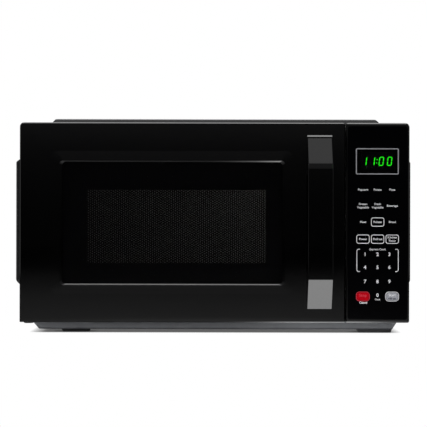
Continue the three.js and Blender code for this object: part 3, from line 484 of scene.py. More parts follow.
def lit_segment():
    """A lit green bar of the clock."""
    mat = surface("display_segment", (0.02, 0.2, 0.02), 0.4, Emission_Color=(0.015, 0.9, 0.01, 1))
    shader_of(mat).inputs["Emission Strength"].default_value = 3.2
    vary_roughness(mat, noise(mat, 500, 2), 0.3, 0.5)
    return mat


MATERIALS = {
    "casing_paint": painted_steel(),
    "zinc_steel": zinc(),
    "pan_coat": pan_paint(),
    "cavity_paint": cavity_enamel(),
    "keypad_film": film(),
    "screen_paint": screen_paint(),
    "circuit_board": board(),
    "mica": mica(),
    "winding_copper": winding(),
    "rubber_feet": rubber(),
    "display_segment": lit_segment(),
}
VARIANTS = [
    (black_gloss, "door_gloss", 0.0005, 0.05),
    (black_gloss, "panel_gloss", 0.0005, 0.06),
    (glass, "smoked_glass", (0.34, 0.34, 0.36), 0.01, 1.16),
    (glass, "clear_sheet", (0.8, 0.82, 0.82), 0.02, 1.2),
    (glass, "tray_glass", (0.93, 0.97, 0.96)),
    (matt_plastic, "inner_matt", (0.018, 0.018, 0.019), 0.55),
    (matt_plastic, "white_plastic", (0.66, 0.65, 0.60), 0.42),
    (matt_plastic, "lamp_glass", (0.82, 0.80, 0.74), 0.2, 0.01),
    (ink, "legend_ink", (0.90, 0.90, 0.92)),
    (ink, "outline_ink", (0.30, 0.30, 0.32)),
    (ink, "stop_ink", (0.55, 0.0005, 0.009), 0.6, 0.08),
    (ink, "stop_line_ink", (0.80, 0.06, 0.09), 0.6, 0.08),
    (ink, "start_ink", (0.36, 0.37, 0.41)),
    (ink, "dark_ink", (0.02, 0.02, 0.025)),
]
MATERIALS.update({name: make(name, *values) for make, name, *values in VARIANTS})

NODE_LOOKS = {
    "base_plate": "pan_coat",
    "upper_hinge_bracket": "screen_paint",
    "lower_hinge_bracket": "screen_paint",
}
SLOT_OF = {part["node"]: part["material_slot"] for part in frame["record"]["subparts"]}


def look_of(node):
    """The material of a CAD node: its own where the table says so, otherwise its slot's."""
    if node in NODE_LOOKS:
        return MATERIALS[NODE_LOOKS[node]]
    return MATERIALS[SLOT_OF[node]]


# -------- Mesh helpers

IN_PLANE = {
    "x": lambda u, v, depth: (depth, u, v),
    "y": lambda u, v, depth: (u, depth, v),
    "z": lambda u, v, depth: (u, v, depth),
}


def ring(u, v, radius, depth, axis="y", steps=6):
    """A closed loop round a rectangle with rounded corners, at a depth along axis.

    radius is one number or four: low-low, high-low, high-high and low-high corner.
    """
    radii = radius if isinstance(radius, tuple) else (radius,) * 4
    corners = [(u[0], v[0], 1, 1), (u[1], v[0], -1, 1), (u[1], v[1], -1, -1), (u[0], v[1], 1, -1)]
    points = []
    for turn, ((cu, cv, su, sv), r) in enumerate(zip(corners, radii)):
        for i in range(steps + 1):
            angle = math.radians(180 + 90 * turn + 90 * i / steps)
            across = cu + su * r + r * math.cos(angle)
            up = cv + sv * r + r * math.sin(angle)
            points.append(IN_PLANE[axis](across, up, depth))
    return points


def inset_ring(u, v, radii, inset, depth):
    """The ring moved inwards by inset, its corners shrinking with it."""
    smaller = tuple(max(0.3, r - inset) for r in radii)
    return ring(widened(u, -inset), widened(v, -inset), smaller, depth)


def skin(mesh, rings, ends="cap"):
    """Adds quads between successive rings. The two ends are capped, or joined to each other."""
    loops = [[mesh.verts.new(Vector(p) * MM) for p in points] for points in rings]
    pairs = list(zip(loops, loops[1:]))
    if ends == "join":
        pairs.append((loops[-1], loops[0]))
    for below, above in pairs:
        for i in range(len(below)):
            j = (i + 1) % len(below)
            mesh.faces.new((below[i], below[j], above[j], above[i]))
    if ends == "cap":
        mesh.faces.new(loops[0])
        mesh.faces.new(reversed(loops[-1]))


def box_in(mesh, x, y, z):
    """Adds a plain block, for a cutter or a small part of a piece."""
    skin(mesh, [ring(x, z, 0.01, y[0], steps=1), ring(x, z, 0.01, y[1], steps=1)])


def lathe(mesh, profile, centre, steps=96):
    """Turns a closed (radius, height) outline round the vertical axis through centre."""
    rings = []
    for i in range(steps):
        angle = 2 * math.pi * i / steps
        rings.append([
            (centre[0] + r * math.cos(angle), centre[1] + r * math.sin(angle), z) for r, z in profile
        ])
    skin(mesh, rings, "join")


def as_object(name, mesh, sharp=32.0):
    """The mesh as an object in the scene: outward normals, welded, and sharp above that angle."""
    bmesh.ops.remove_doubles(mesh, verts=mesh.verts, dist=1e-6)
    bmesh.ops.recalc_face_normals(mesh, faces=mesh.faces)
    data = bpy.data.meshes.new(name)
    mesh.to_mesh(data)
    mesh.free()
    data.shade_smooth()
    data.set_sharp_from_angle(angle=math.radians(sharp))
    obj = bpy.data.objects.new(name, data)
    bpy.context.scene.collection.objects.link(obj)
    return obj


def flat_normals(obj):
    """Keeps large faces flat beside their rounded edges."""
    modifier = obj.modifiers.new("normals", "WEIGHTED_NORMAL")
    modifier.keep_sharp = True


def piece(name, mesh, look, body, replaces=(), sharp=32.0):
    """A finished piece: its mesh, its material, the body it rides and the CAD nodes it stands for.
    """
    obj = as_object(name, mesh, sharp)
    obj.data.materials.append(MATERIALS[look])
    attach(obj, body)
    if replaces:
        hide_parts(*replaces)
    return obj


def printed(name, mesh, look):
    """A finished piece of print on the keypad's film."""
    return piece(name, mesh, look, "root")


def carve(obj, cutters):
    """Cuts blocks and bars out of a piece for good."""
    for number, mesh in enumerate(cutters):
        cutter = as_object(f"cutter_{number}", mesh)
        modifier = obj.modifiers.new("carve", "BOOLEAN")
        modifier.operation = "DIFFERENCE"
        modifier.solver = "EXACT"
        modifier.object = cutter
        evaluated = obj.evaluated_get(bpy.context.evaluated_depsgraph_get())
        carved = bpy.data.meshes.new_from_object(evaluated)
        obj.modifiers.clear()
        obj.data = carved
        bpy.data.objects.remove(cutter)


def new_block(x, y, z):
    """A mesh of one plain block."""
    mesh = bmesh.new()
    box_in(mesh, x, y, z)
    return mesh


def new_bar(centre, radius, span):
    """A mesh of one round upright bar, through centre."""
    mesh = bmesh.new()
    x = (centre[0] - radius, centre[0] + radius)
    y = (centre[1] - radius, centre[1] + radius)
    skin(mesh, [ring(x, y, radius, height, "z") for height in span])
    return mesh


# -------- Camera, light and floor


def build_camera():
    """A long lens, level, a little above the middle of the front."""
    data = bpy.data.cameras.new("camera")
    data.lens = LENS
    data.sensor_width = 36
    data.clip_start = 0.05
    camera = bpy.data.objects.new("camera", data)
    camera.location = CAMERA_PLACE
    camera.rotation_euler = (math.radians(90), math.radians(CAMERA_ROLL), 0)
    bpy.context.scene.collection.objects.link(camera)
    bpy.context.scene.camera = camera


def softbox(name, location, aim, size, radiance):
    """A rectangular light that shines from location towards aim, with that radiance."""
    data = bpy.data.lights.new(name, "AREA")
    data.shape = "RECTANGLE"
    data.size, data.size_y = size
    data.energy = radiance * math.pi * size[0] * size[1]
    light = bpy.data.objects.new(name, data)
    light.location = location
    light.rotation_euler = (Vector(aim) - Vector(location)).to_track_quat("-Z", "Y").to_euler()
    light.visible_camera = False
    bpy.context.scene.collection.objects.link(light)
    return light


def build_lights():
    """The studio's soft lights, and the small lamp inside the cavity."""
    boxes = {values[0]: softbox(*values) for values in SOFTBOXES}
    boxes["front_fill"].visible_glossy = False
    boxes["front_fill"].visible_transmission = False
    inside = bpy.data.lights.new("inside", "POINT")
    inside.energy = OVEN_LAMP_POWER
    inside.color = OVEN_LAMP_COLOR
    inside.shadow_soft_size = 0.012
    lamp = bpy.data.objects.new("inside", inside)
    lamp.location = OVEN_LAMP_PLACE
    bpy.context.scene.collection.objects.link(lamp)


def add_ramp(mat, stops, blue=1.0):
    """A ramp node of greys from (position, level) pairs, with its blue that much stronger."""
    ramp = add_node(mat, "ShaderNodeValToRGB")
    fill_ramp(ramp, [(position, (level, level, level * blue)) for position, level in stops])
    return ramp


def scaled(mat, value, operation, amount):
    """A value multiplied or divided by an amount."""
    node = add_node(mat, "ShaderNodeMath", operation=operation)
    node.inputs[1].default_value = amount
    link(mat, value, node.inputs[0])
    return node.outputs["Value"]


def show_to_camera(mat, plain, seen, output):
    """Ends a node tree: the camera sees one shader, and everything else sees the plain one."""
    mix = add_node(mat, "ShaderNodeMixShader")
    link(mat, add_node(mat, "ShaderNodeLightPath").outputs["Is Camera Ray"], mix.inputs["Fac"])
    link(mat, plain, mix.inputs[1])
    link(mat, seen, mix.inputs[2])
    link(mat, mix.outputs["Shader"], mat.node_tree.nodes[output].inputs["Surface"])


def build_world():
    """White to the camera. To the oven, dark at the horizon and dim above, to keep black gloss black."""
    world = bpy.data.worlds.new("studio")
    world.use_nodes = True
    dim = world.node_tree.nodes["Background"]
    white = add_node(world, "ShaderNodeBackground", Color=(1, 1, 1, 1))
    height = add_node(world, "ShaderNodeSeparateXYZ")
    ramp = add_ramp(world, SKY_LEVELS, SKY_BLUE)
    link(world, add_node(world, "ShaderNodeTexCoord").outputs["Generated"], height.inputs["Vector"])
    link(world, height.outputs["Z"], ramp.inputs["Fac"])
    link(world, ramp.outputs["Color"], dim.inputs["Color"])
    show_to_camera(world, dim.outputs["Background"], white.outputs["Background"], "World Output")
    bpy.context.scene.world = world
    bpy.context.scene.view_settings.view_transform = "Standard"


def table_sheen(mat):
    """The bright patch of table under the handle, which only gloss picks up."""
    point = place(mat)
    steps = [
        ("SUBTRACT", SHEEN_CENTRE),
        ("ABSOLUTE", (0, 0, 0)),
        ("SUBTRACT", SHEEN_HALF),
        ("MAXIMUM", (0, 0, 0)),
    ]
    for operation, value in steps:
        node = add_node(mat, "ShaderNodeVectorMath", operation=operation)
        node.inputs[1].default_value = value
        link(mat, point, node.inputs[0])
        point = node.outputs["Vector"]
    away = add_node(mat, "ShaderNodeVectorMath", operation="LENGTH")
    ramp = add_ramp(mat, SHEEN_LEVELS)
    glow = add_node(mat, "ShaderNodeEmission")
    gloss = add_node(mat, "ShaderNodeLightPath").outputs["Is Glossy Ray"]
    link(mat, point, away.inputs[0])
    link(mat, scaled(mat, away.outputs["Value"], "DIVIDE", SHEEN_REACH), ramp.inputs["Fac"])
    link(mat, ramp.outputs["Color"], glow.inputs["Color"])
    link(mat, scaled(mat, gloss, "MULTIPLY", SHEEN_STRENGTH), glow.inputs["Strength"])
    return glow.outputs["Emission"]


def build_floor():
    """A pale table: white to the camera with a painted contact shadow, and to reflections a painted pool of
    light that dims away from the oven.
    """
    mat = bpy.data.materials.new("table_top")
    mat.use_nodes = True
    mat.node_tree.nodes.remove(shader_of(mat))
    distance = add_node(mat, "ShaderNodeVectorMath", operation="LENGTH")
    # Painted pool of light: the table's grey falls from pale near the oven to near black far off.
    ramp = add_ramp(mat, [(metres / TABLE_REACH, level) for metres, level in TABLE_POOL_LEVELS])
    dull = add_node(mat, "ShaderNodeBsdfDiffuse")
    both = add_node(mat, "ShaderNodeAddShader")
    shade = add_node(mat, "ShaderNodeAmbientOcclusion", samples=12, Distance=SHADOW_REACH)
    bright = add_node(mat, "ShaderNodeEmission")
    link(mat, place(mat), distance.inputs[0])
    link(mat, scaled(mat, distance.outputs["Value"], "DIVIDE", TABLE_REACH), ramp.inputs["Fac"])
    link(mat, ramp.outputs["Color"], dull.inputs["Color"])
    link(mat, dull.outputs["BSDF"], both.inputs[0])
    link(mat, table_sheen(mat), both.inputs[1])
    link(mat, shade.outputs["Color"], bright.inputs["Color"])
    show_to_camera(mat, both.outputs["Shader"], bright.outputs["Emission"], "Material Output")
    mesh = bmesh.new()
    bmesh.ops.create_grid(mesh, x_segments=1, y_segments=1, size=TABLE_SIZE)
    floor = as_object("table_top", mesh)
    floor.data.materials.append(mat)


# -------- CAD nodes that stay


def soften(node):
    """Welds a CAD node's corners and rounds its edges a little."""
    obj = NODES[node]
    weld = obj.modifiers.new("weld", "WELD")
    weld.merge_threshold = 1e-5
    bevel = obj.modifiers.new("ease", "BEVEL")
    bevel.width = EASED.get(node, DEFAULT_EASE) * MM
    bevel.segments = 2
    bevel.limit_method = "ANGLE"
    bevel.angle_limit = math.radians(28)
    flat_normals(obj)


def dress_cad():
    """Gives every CAD node its material and its eased edges."""
    for node, obj in NODES.items():
        look = look_of(node)
        if not obj.material_slots:
            obj.data.materials.append(look)
        for slot in obj.material_slots:
            slot.material = look
        for polygon in obj.data.polygons:
            polygon.use_smooth = True
        soften(node)


# -------- Door


def eased_edge(u, v, radii, face, size):
    """Rings round a front edge: from the face, over a softened chamfer, to the side."""
    return [inset_ring(u, v, radii, size * inset, face + size * back) for inset, back in EDGE_PROFILE]


def build_door_frame():
    """The door's moulding: a shell with a bevelled window, a faint raised border and softened edges."""
    face, rim = DOOR_Y
    wide, tall = WINDOW_BEVEL
    proud = face - BORDER_RISE
    rings = [
        ring(WINDOW_X, WINDOW_Z, WINDOW_CORNER, face + WALL),
        ring(WINDOW_X, WINDOW_Z, WINDOW_CORNER, proud + tall),
    ]
    for share, depth in BEVEL_PROFILE:
        across, up = widened(WINDOW_X, wide * share), widened(WINDOW_Z, tall * share)
        rings.append(ring(across, up, WINDOW_CORNER, proud + tall * depth))
    rings.append(ring(widened(BORDER_X, -0.5), widened(BORDER_Z, -0.5), BORDER_CORNER, face - 0.004))
    rings.append(ring(widened(BORDER_X, 0.5), widened(BORDER_Z, 0.5), BORDER_CORNER, face))
    rings.extend(eased_edge(DOOR_X, DOOR_Z, DOOR_CORNERS, face, DOOR_EDGE))
    behind = (
        (0, rim - REAR_CHAMFER),
        (REAR_CHAMFER * 0.75, rim),
        (WALL, rim),
        (WALL, face + WALL),
    )
    for inset, depth in behind:
        rings.append(inset_ring(DOOR_X, DOOR_Z, DOOR_CORNERS, inset, depth))
    mesh = bmesh.new()
    skin(mesh, rings, "join")
    moulding = piece("door_frame", mesh, "door_gloss", "door", ["door_outer_frame"])
    carve(moulding, [
        new_block((DOOR_X[0] - 2, WELL_RIGHT), (WELL_FRONT, rim + 2), (WELL_FLOOR, DOOR_Z[1] + 2)),
        new_bar(HINGE_PIN, PIN_HOLE_RADIUS, (DOOR_Z[0] - 1, DOOR_Z[0] + PIN_HOLE_DEPTH)),
    ])
    moulding.data.set_sharp_from_angle(angle=math.radians(32))
    flat_normals(moulding)
    build_hinge_well()


def build_hinge_well():
    """The walls of the notch that the upper hinge plate swings in."""
    left = DOOR_X[0] + WALL
    rear = DOOR_Y[1] - WELL_REAR_GAP
    top = DOOR_Z[1] - WALL
    under = WELL_FLOOR - WALL
    mesh = bmesh.new()
    box_in(mesh, (left, WELL_RIGHT + WALL), (WELL_FRONT - WALL, WELL_FRONT), (under, top))
    box_in(mesh, (WELL_RIGHT, WELL_RIGHT + WALL), (WELL_FRONT, rear), (under, top))
    box_in(mesh, (left, WELL_RIGHT), (WELL_FRONT, rear), (under, WELL_FLOOR))
    piece("hinge_well", mesh, "inner_matt", "door")


def filleted(points, radii, steps=10):
    """A closed outline with each corner rounded by its own radius."""
    rounded = []
    count = len(points)
    for i, radius in enumerate(radii):
        here = Vector(points[i])
        before = (Vector(points[i - 1]) - here).normalized()
        after = (Vector(points[(i + 1) % count]) - here).normalized()
        half = before.angle(after) / 2
        if radius <= 0:
            rounded.append(tuple(here))
            continue
        reach = radius / math.tan(half)
        start = here + before * reach
        end = here + after * reach
        for k in range(steps + 1):
            share = k / steps
            a = start.lerp(here, share)
            b = here.lerp(end, share)
            rounded.append(tuple(a.lerp(b, share)))
    return rounded


def build_handle():
    """A bar with a finger gap behind it, long slopes at its ends and a grooved rim at its top."""
    front, back = HANDLE_Y
    low, high = HANDLE_Z
    foot = low + 1
    gap_low, gap_high = FINGER_GAP_Z
    rim_foot = high - 3.3
    side = [
        ((back, foot), 0),
        ((back - 2, foot), 0.6),
        ((front, low + LOWER_SLOPE), 2),
        ((front, high - UPPER_SLOPE), 14),
        ((back - 4.3, rim_foot), 0.2),
        ((back - 0.9, rim_foot), 0),
        ((back - 0.9, high - 1.6), 0),
        ((back - 1.9, high - 1.6), 0),
        ((back - 1.9, high - 1.4), 0),
        ((back - 0.2, high + 0.3), 0),
        ((back, high + 0.3), 0),
        ((back, gap_high + 10), 1.5),
        ((FINGER_GAP_FRONT, gap_high + 2), 6),
        ((FINGER_GAP_FRONT, gap_low - 2), 6),
        ((back, gap_low - 10), 1.5),
    ]
    outline = filleted([point for point, _ in side], [radius for _, radius in side])
    mesh = bmesh.new()
    skin(mesh, [[(x, y, z) for y, z in outline] for x in (HANDLE_X[0], HANDLE_X[1] + 0.8)])
    handle = piece("handle_bar", mesh, "door_gloss", "door", ["door_handle"], 40)
    rounded = handle.data.attributes.new("bevel_weight_edge", "FLOAT", "EDGE")
    for edge in handle.data.edges:
        start, end = [handle.data.vertices[index].co for index in edge.vertices]
        on_side = abs(start.x - end.x) < 1e-6
        below_rim = max(start.z, end.z) < (rim_foot + 0.1) * MM
        rounded.data[edge.index].value = float(on_side and below_rim)
    ease = handle.modifiers.new("ease", "BEVEL")
    ease.width = HANDLE_EASE * MM
    ease.segments = 4
    ease.use_clamp_overlap = False
    ease.limit_method = "WEIGHT"
    flat_normals(handle)


def hexagon(x, z, radius):
    """The corners of an upright hexagon round a point."""
    angles = [math.radians(60 * i) for i in range(6)]
    return [(x + radius * math.cos(angle), z + radius * math.sin(angle)) for angle in angles]


def perforated(mesh, x, z, front, back, pitch, radius):
    """A sheet of hexagonal cells in upright columns, each with a hexagonal hole through it."""
    step = pitch * math.sqrt(3) / 2
    cell = pitch / math.sqrt(3)
    for column in range(int((x[1] - x[0]) / step)):
        for row in range(int((z[1] - z[0]) / pitch)):
            cx = x[0] + step * (column + 0.5)
            cz = z[0] + pitch * (row + (0.5 if column % 2 else 1.0))
            for depth in (front, back):
                outer, inner = [
                    [mesh.verts.new((px * MM, depth * MM, pz * MM)) for px, pz in hexagon(cx, cz, size)]
                    for size in (cell, radius)
                ]
                for i in range(6):
                    j = (i + 1) % 6
                    mesh.faces.new((outer[i], outer[j], inner[j], inner[i]))


def build_door_screen():
    """The folded steel door panel, with its window of small holes."""
    front, back = SCREEN_Y
    outer = (SCREEN_X, SCREEN_Z, 4)
    inner = (widened(SCREEN_X, -SCREEN_SHEET), widened(SCREEN_Z, -SCREEN_SHEET), 3)
    window = (PATTERN_X, PATTERN_Z, 0.3)
    mesh = bmesh.new()
    skin(mesh, [
        ring(*window, front + SCREEN_SHEET * 0.5),
        ring(*window, front),
        ring(*outer, front),
        ring(*outer, back),
        ring(*inner, back),
        ring(*inner, front + SCREEN_SHEET),
        ring(*window, front + SCREEN_SHEET),
    ], "join")
    margin = HOLE_PITCH * 0.6
    across, up = widened(PATTERN_X, margin), widened(PATTERN_Z, margin)
    perforated(mesh, across, up, front + 0.3, front + 0.6, HOLE_PITCH, HOLE_RADIUS)
    screen = piece("door_seal_panel", mesh, "screen_paint", "door", ["door_screen"])
    flat_normals(screen)


def bead(mesh, u, v, radius, foot, top, axis, width=BEAD_WIDTH):
    """Adds a raised line round a rounded rectangle, from its foot up to its softened top."""
    crest = width * 0.3
    skin(mesh, [
        ring(u, v, radius, foot, axis),
        ring(widened(u, -crest), widened(v, -crest), radius - crest, top, axis),
        ring(widened(u, crest - width), widened(v, crest - width), radius - width + crest, top, axis),
        ring(widened(u, -width), widened(v, -width), radius - width, foot, axis),
    ], "join")


def build_cover_beads():
    """The two raised lines moulded on the inside of the door."""
    foot, top = COVER_Y[1] - 0.3, COVER_Y[1] + BEAD_HEIGHT
    mesh = bmesh.new()
    bead(mesh, widened(SHEET_X, VIEW_MARGIN), widened(SHEET_Z, VIEW_MARGIN), 9, foot, top, "y")
    bead(mesh, COVER_BEAD_X, COVER_BEAD_Z, 8, foot, top, "y")
    piece("cover_beads", mesh, "inner_matt", "door")


def wire_height(turns):
    """Height of the wire after that many turns: the first and the last turn lie almost flat."""
    low, high = SPRING_Z[0] + WIRE, SPRING_Z[1] - WIRE
    if turns <= 1:
        return low + CLOSED_TURN * turns
    if turns >= COIL_TURNS - 1:
        return high - CLOSED_TURN * (COIL_TURNS - turns)
    open_share = (turns - 1) / (COIL_TURNS - 2)
    return low + CLOSED_TURN + (high - low - 2 * CLOSED_TURN) * open_share


def build_latch_coil(steps=24, sides=8):
    """The wire spring over the latch, at its rest length."""
    mesh = bmesh.new()
    centre = (sum(SPRING_X) / 2, sum(SPRING_Y) / 2)
    radius = (SPRING_X[1] - SPRING_X[0]) / 2 - WIRE
    rings = []
    for i in range(COIL_TURNS * steps + 1):
        angle = 2 * math.pi * i / steps
        height = wire_height(i / steps)
        loop = []
        for j in range(sides):
            around_wire = 2 * math.pi * j / sides
            out = radius + WIRE * math.cos(around_wire)
            x, y = centre[0] + out * math.cos(angle), centre[1] + out * math.sin(angle)
            loop.append((x, y, height + WIRE * math.sin(around_wire)))
        rings.append(loop)
    skin(mesh, rings)
    coil = piece("latch_coil", mesh, "zinc_steel", "door", ["latch_spring"], 60)
    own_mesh(coil)


# -------- Cavity


def build_cavity_ribs():
    """The stiffening lines pressed into the rear and left walls."""
    wall = CAVITY_X[0]
    mesh = bmesh.new()
    rear = (CAVITY_REAR + 0.2, CAVITY_REAR - RIB_RISE)
    bead(mesh, REAR_RIB_X, REAR_RIB_Z, RIB_CORNER, *rear, "y", RIB_WIDTH)
    left = (wall - 0.2, wall + RIB_RISE)
    bead(mesh, LEFT_RIB_Y, LEFT_RIB_Z, RIB_CORNER, *left, "x", RIB_WIDTH)
    piece("cavity_ribs", mesh, "cavity_paint", "root")


# -------- Control panel


def build_panel_housing():
    """The panel's moulding, with seats for the film and the lens and an opening behind the lens."""
    face, back = PANEL_Y
    film_seat = face + 0.9
    lens_seat = face + 2
    opening = (widened(LENS_X, -2.8), widened(LENS_Z, -3), 2)
    lens = (LENS_X, LENS_Z, 3)
    film_edge = (widened(FILM_X, 0.1), widened(FILM_Z, 0.1), 3)
    rings = [
        ring(*opening, face + WALL),
        ring(*opening, lens_seat),
        ring(*lens, lens_seat),
        ring(*lens, film_seat),
        ring(*film_edge, film_seat),
        ring(*film_edge, face),
    ]
    rings.extend(eased_edge(PANEL_X, PANEL_Z, PANEL_CORNERS, face, PANEL_EDGE))
    for inset, depth in ((0, back), (WALL, back), (WALL, face + WALL)):
        rings.append(inset_ring(PANEL_X, PANEL_Z, PANEL_CORNERS, inset, depth))
    mesh = bmesh.new()
    skin(mesh, rings, "join")
    housing = piece("panel_housing", mesh, "panel_gloss", "root", ["control_panel_housing"])
    flat_normals(housing)


def print_frame(mesh, x, z, radius, line):
    """Adds a thin printed rounded outline."""
    inner = (widened(x, -line), widened(z, -line), max(0.2, radius - line))
    skin(mesh, [
        ring(x, z, radius, PRINT_BACK), ring(x, z, radius, PRINT_FRONT),
        ring(*inner, PRINT_FRONT), ring(*inner, PRINT_BACK),
    ], "join")


def print_pill(mesh, x, z, radius):
    """Adds a printed filled rectangle with round corners."""
    skin(mesh, [ring(x, z, radius, PRINT_FRONT), ring(x, z, radius, PRINT_BACK)])


def write(mesh, words, x, z, height, front=0.0, bold=0.02):
    """Adds a line of lettering, centred on x and z, its capitals that high."""
    curve = bpy.data.curves.new("words", "FONT")
    curve.body = words
    curve.align_x = "CENTER"
    curve.align_y = "CENTER"
    curve.size = height * 1.4
    curve.extrude = 0.03
    curve.offset = bold * height
    curve.resolution_u = 2
    obj = bpy.data.objects.new("words", curve)
    bpy.context.scene.collection.objects.link(obj)
    evaluated = obj.evaluated_get(bpy.context.evaluated_depsgraph_get())
    data = bpy.data.meshes.new_from_object(evaluated)
    upright = Matrix.Translation((x, PRINT_FRONT - front, z)) @ Matrix.Rotation(math.radians(90), 4, "X")
    data.transform(Matrix.Scale(MM, 4) @ upright)
    mesh.from_mesh(data)
    bpy.data.objects.remove(obj)
    bpy.data.meshes.remove(data)


def around(centre, size):
    """The (low, high) pair of that size round centre."""
    return (centre - size / 2, centre + size / 2)


def build_legends():
    """The printed keys: words, numbers, outlines and brackets."""
    mesh = bmesh.new()
    for level, words, boxed in KEY_ROWS:
        for column, word in enumerate(words):
            x = KEYS_CENTRE + COLUMNS[column]
            shift = LINE_STEP / 2 if "\n" in word else 0
            for line, text in enumerate(word.split("\n")):
                write(mesh, text, x, level + shift - LINE_STEP * line, WORD_HEIGHT)
            if column in boxed:
                print_frame(mesh, around(x, KEY_BOX[0]), around(level, KEY_BOX[1]), 2.5, 0.7)
    for level, digits in DIGIT_ROWS:
        for offset, digit in zip(DIGIT_COLUMNS, digits):
            write(mesh, digit, KEYS_CENTRE + offset, level, DIGIT_HEIGHT, bold=DIGIT_BOLD)
    write(mesh, "0", KEYS_CENTRE, LAST_ROW + 1.4, DIGIT_HEIGHT, bold=DIGIT_BOLD)
    write(mesh, "Clock", KEYS_CENTRE, LAST_ROW - 3.4, 1.9)
    write(mesh, "Cancel", KEYS_CENTRE + COLUMNS[0] + 0.4, LAST_ROW - 6.9, 2.3, bold=0.05)
    write(mesh, "Express Cook", KEYS_CENTRE, HEADING_LEVEL, 2.3)
    build_brackets(mesh)
    legend = printed("keypad_legend", mesh, "legend_ink")
    legend.data.set_sharp_from_angle(angle=math.radians(20))


def build_brackets(mesh):
    """Two square brackets with rounded corners, round the first six numbers."""
    line, reach, radius, low, high, half = BRACKET.values()
    for way in (1, -1):
        edge = KEYS_CENTRE - way * half
        outer = []
        inner = []
        for centre_z, start in ((high - radius, 90), (low + radius, 180)):
            for i in range(7):
                angle = math.radians(start + 15 * i)
                for loop, r in ((outer, radius), (inner, radius - line)):
                    x = edge + way * (radius + r * math.cos(angle))
                    loop.append((x, centre_z + r * math.sin(angle)))
        tip = edge + way * reach
        outer = [(tip, high)] + outer + [(tip, low)]
        inner = [(tip, high - line)] + inner + [(tip, low + line)]
        skin(mesh, [
            [(ox, PRINT_FRONT, oz), (ix, PRINT_FRONT, iz), (ix, PRINT_BACK, iz), (ox, PRINT_BACK, oz)]
            for (ox, oz), (ix, iz) in zip(outer, inner)
        ])


def build_pills():
    """The stop key in red and the start key in grey, each with a paler line round it, and their words."""
    for name, body, line, column, word, rise, height in PILL_KEYS:
        x = around(KEYS_CENTRE + COLUMNS[column], PILL[0])
        z = around(LAST_ROW, PILL[1])
        mesh = bmesh.new()
        print_pill(mesh, widened(x, -1.0), widened(z, -1.0), 3.2)
        printed(f"{name}_key", mesh, body)
        mesh = bmesh.new()
        print_frame(mesh, x, z, 4, 0.6)
        write(mesh, word, KEYS_CENTRE + COLUMNS[column], LAST_ROW + rise, height, 0.05)
        printed(f"{name}_line", mesh, line)
    mesh = bmesh.new()
    write(mesh, "+30 sec", KEYS_CENTRE + COLUMNS[2], LAST_ROW - 2.4, 2.0, 0.05, 0.06)
    printed("start_words", mesh, "dark_ink")


def segment_outline(start, end, line):
    """A long hexagon from start to end."""
    a, b = Vector(start), Vector(end)
    along = (b - a).normalized()
    across = Vector((-along.y, along.x)) * line / 2
    gap = along * line * 0.14
    nose = along * line / 2
    a, b = a + gap, b - gap
    return [a, a + nose - across, b - nose - across, b, b - nose + across, a + nose + across]


def build_display():
    """The lit clock behind the lens, and the printed line round it."""
    base, height, width = DIGIT["base"], DIGIT["height"], DIGIT["width"]
    outlines = []
    for centre, lit in CLOCK:
        left = centre - width / 2
        for name in lit:
            ends = [(left + u * width, base + v * height) for u, v in SEGMENTS[name]]
            outlines.append(segment_outline(*ends, DIGIT["line"]))
    turns = [math.pi * k / 4 for k in range(8)]
    for level in (0.3, 0.7):
        z = base + level * height
        outlines.append([
            Vector((COLON_X + COLON_DOT * math.cos(turn), z + COLON_DOT * math.sin(turn))) for turn in turns
        ])
    mesh = bmesh.new()
    for outline in outlines:
        leaning = [(point.x + (point.y - base) * DIGIT["slant"], point.y) for point in outline]
        depths = (MODULE_FACE - 0.12, MODULE_FACE + 0.02)
        skin(mesh, [[(x, depth, z) for x, z in leaning] for depth in depths])
    printed("display_digits", mesh, "display_segment")
    mesh = bmesh.new()
    raised = (LENS_Z[0] + 0.5, LENS_Z[1] + 0.9)
    print_frame(mesh, widened(LENS_X, 0.3), raised, 1.8, 1.2)
    printed("display_outline", mesh, "outline_ink")


# -------- Turntable


def build_tray():
    """The glass tray: a flat dish with moulded rings on it and three lugs for the coupler."""
    centre = (sum(TRAY_X) / 2, sum(TRAY_Y) / 2)
    outer = (TRAY_X[1] - TRAY_X[0]) / 2
    lug_low, top = TRAY_Z
    base = top - TRAY_DEPTH
    floor = base + TRAY_THICKNESS
    underside = [
        (0.5, base), (60, base), (61, base - 0.01), (62, base), (104, base),
        (108, base + 0.5), (112, base + 2), (outer - 3, base + 8.8), (outer - 0.8, base + 10),
    ]
    rim = [(outer, base + 11), (outer - 0.6, base + 11.9), (outer - 2.4, top), (outer - 6, base + 11.2)]
    upper_side = [
        (115, base + 7.6), (109, floor + 1), (103, floor), (90, floor), (89.4, floor - 0.4), (88.8, floor),
        (70, floor), (69.4, floor - 0.4), (68.8, floor), (0.5, floor),
    ]
    mesh = bmesh.new()
    lathe(mesh, underside + rim + upper_side, centre)
    for angle in LUG_ANGLES:
        lug = new_block(LUG_REACH, LUG_WIDTH, (lug_low, base + 0.2))
        turn = Matrix.Rotation(math.radians(angle), 4, "Z")
        shift = Matrix.Translation((centre[0] * MM, centre[1] * MM, 0))
        bmesh.ops.transform(lug, matrix=shift @ turn, verts=lug.verts)
        data = bpy.data.meshes.new("lug")
        lug.to_mesh(data)
        mesh.from_mesh(data)
        lug.free()
    piece("turntable_tray", mesh, "tray_glass", "tray", ["glass_turntable"], 50)


# -------- Casing


def share_across(value, field):
    """How far up the slope of a pressed field a point is, from 0 at its foot to 1 on its crest."""
    low, high, run_low, run_high = field
    return max(0.0, min(1.0, (value - low) / run_low, (high - value) / run_high))


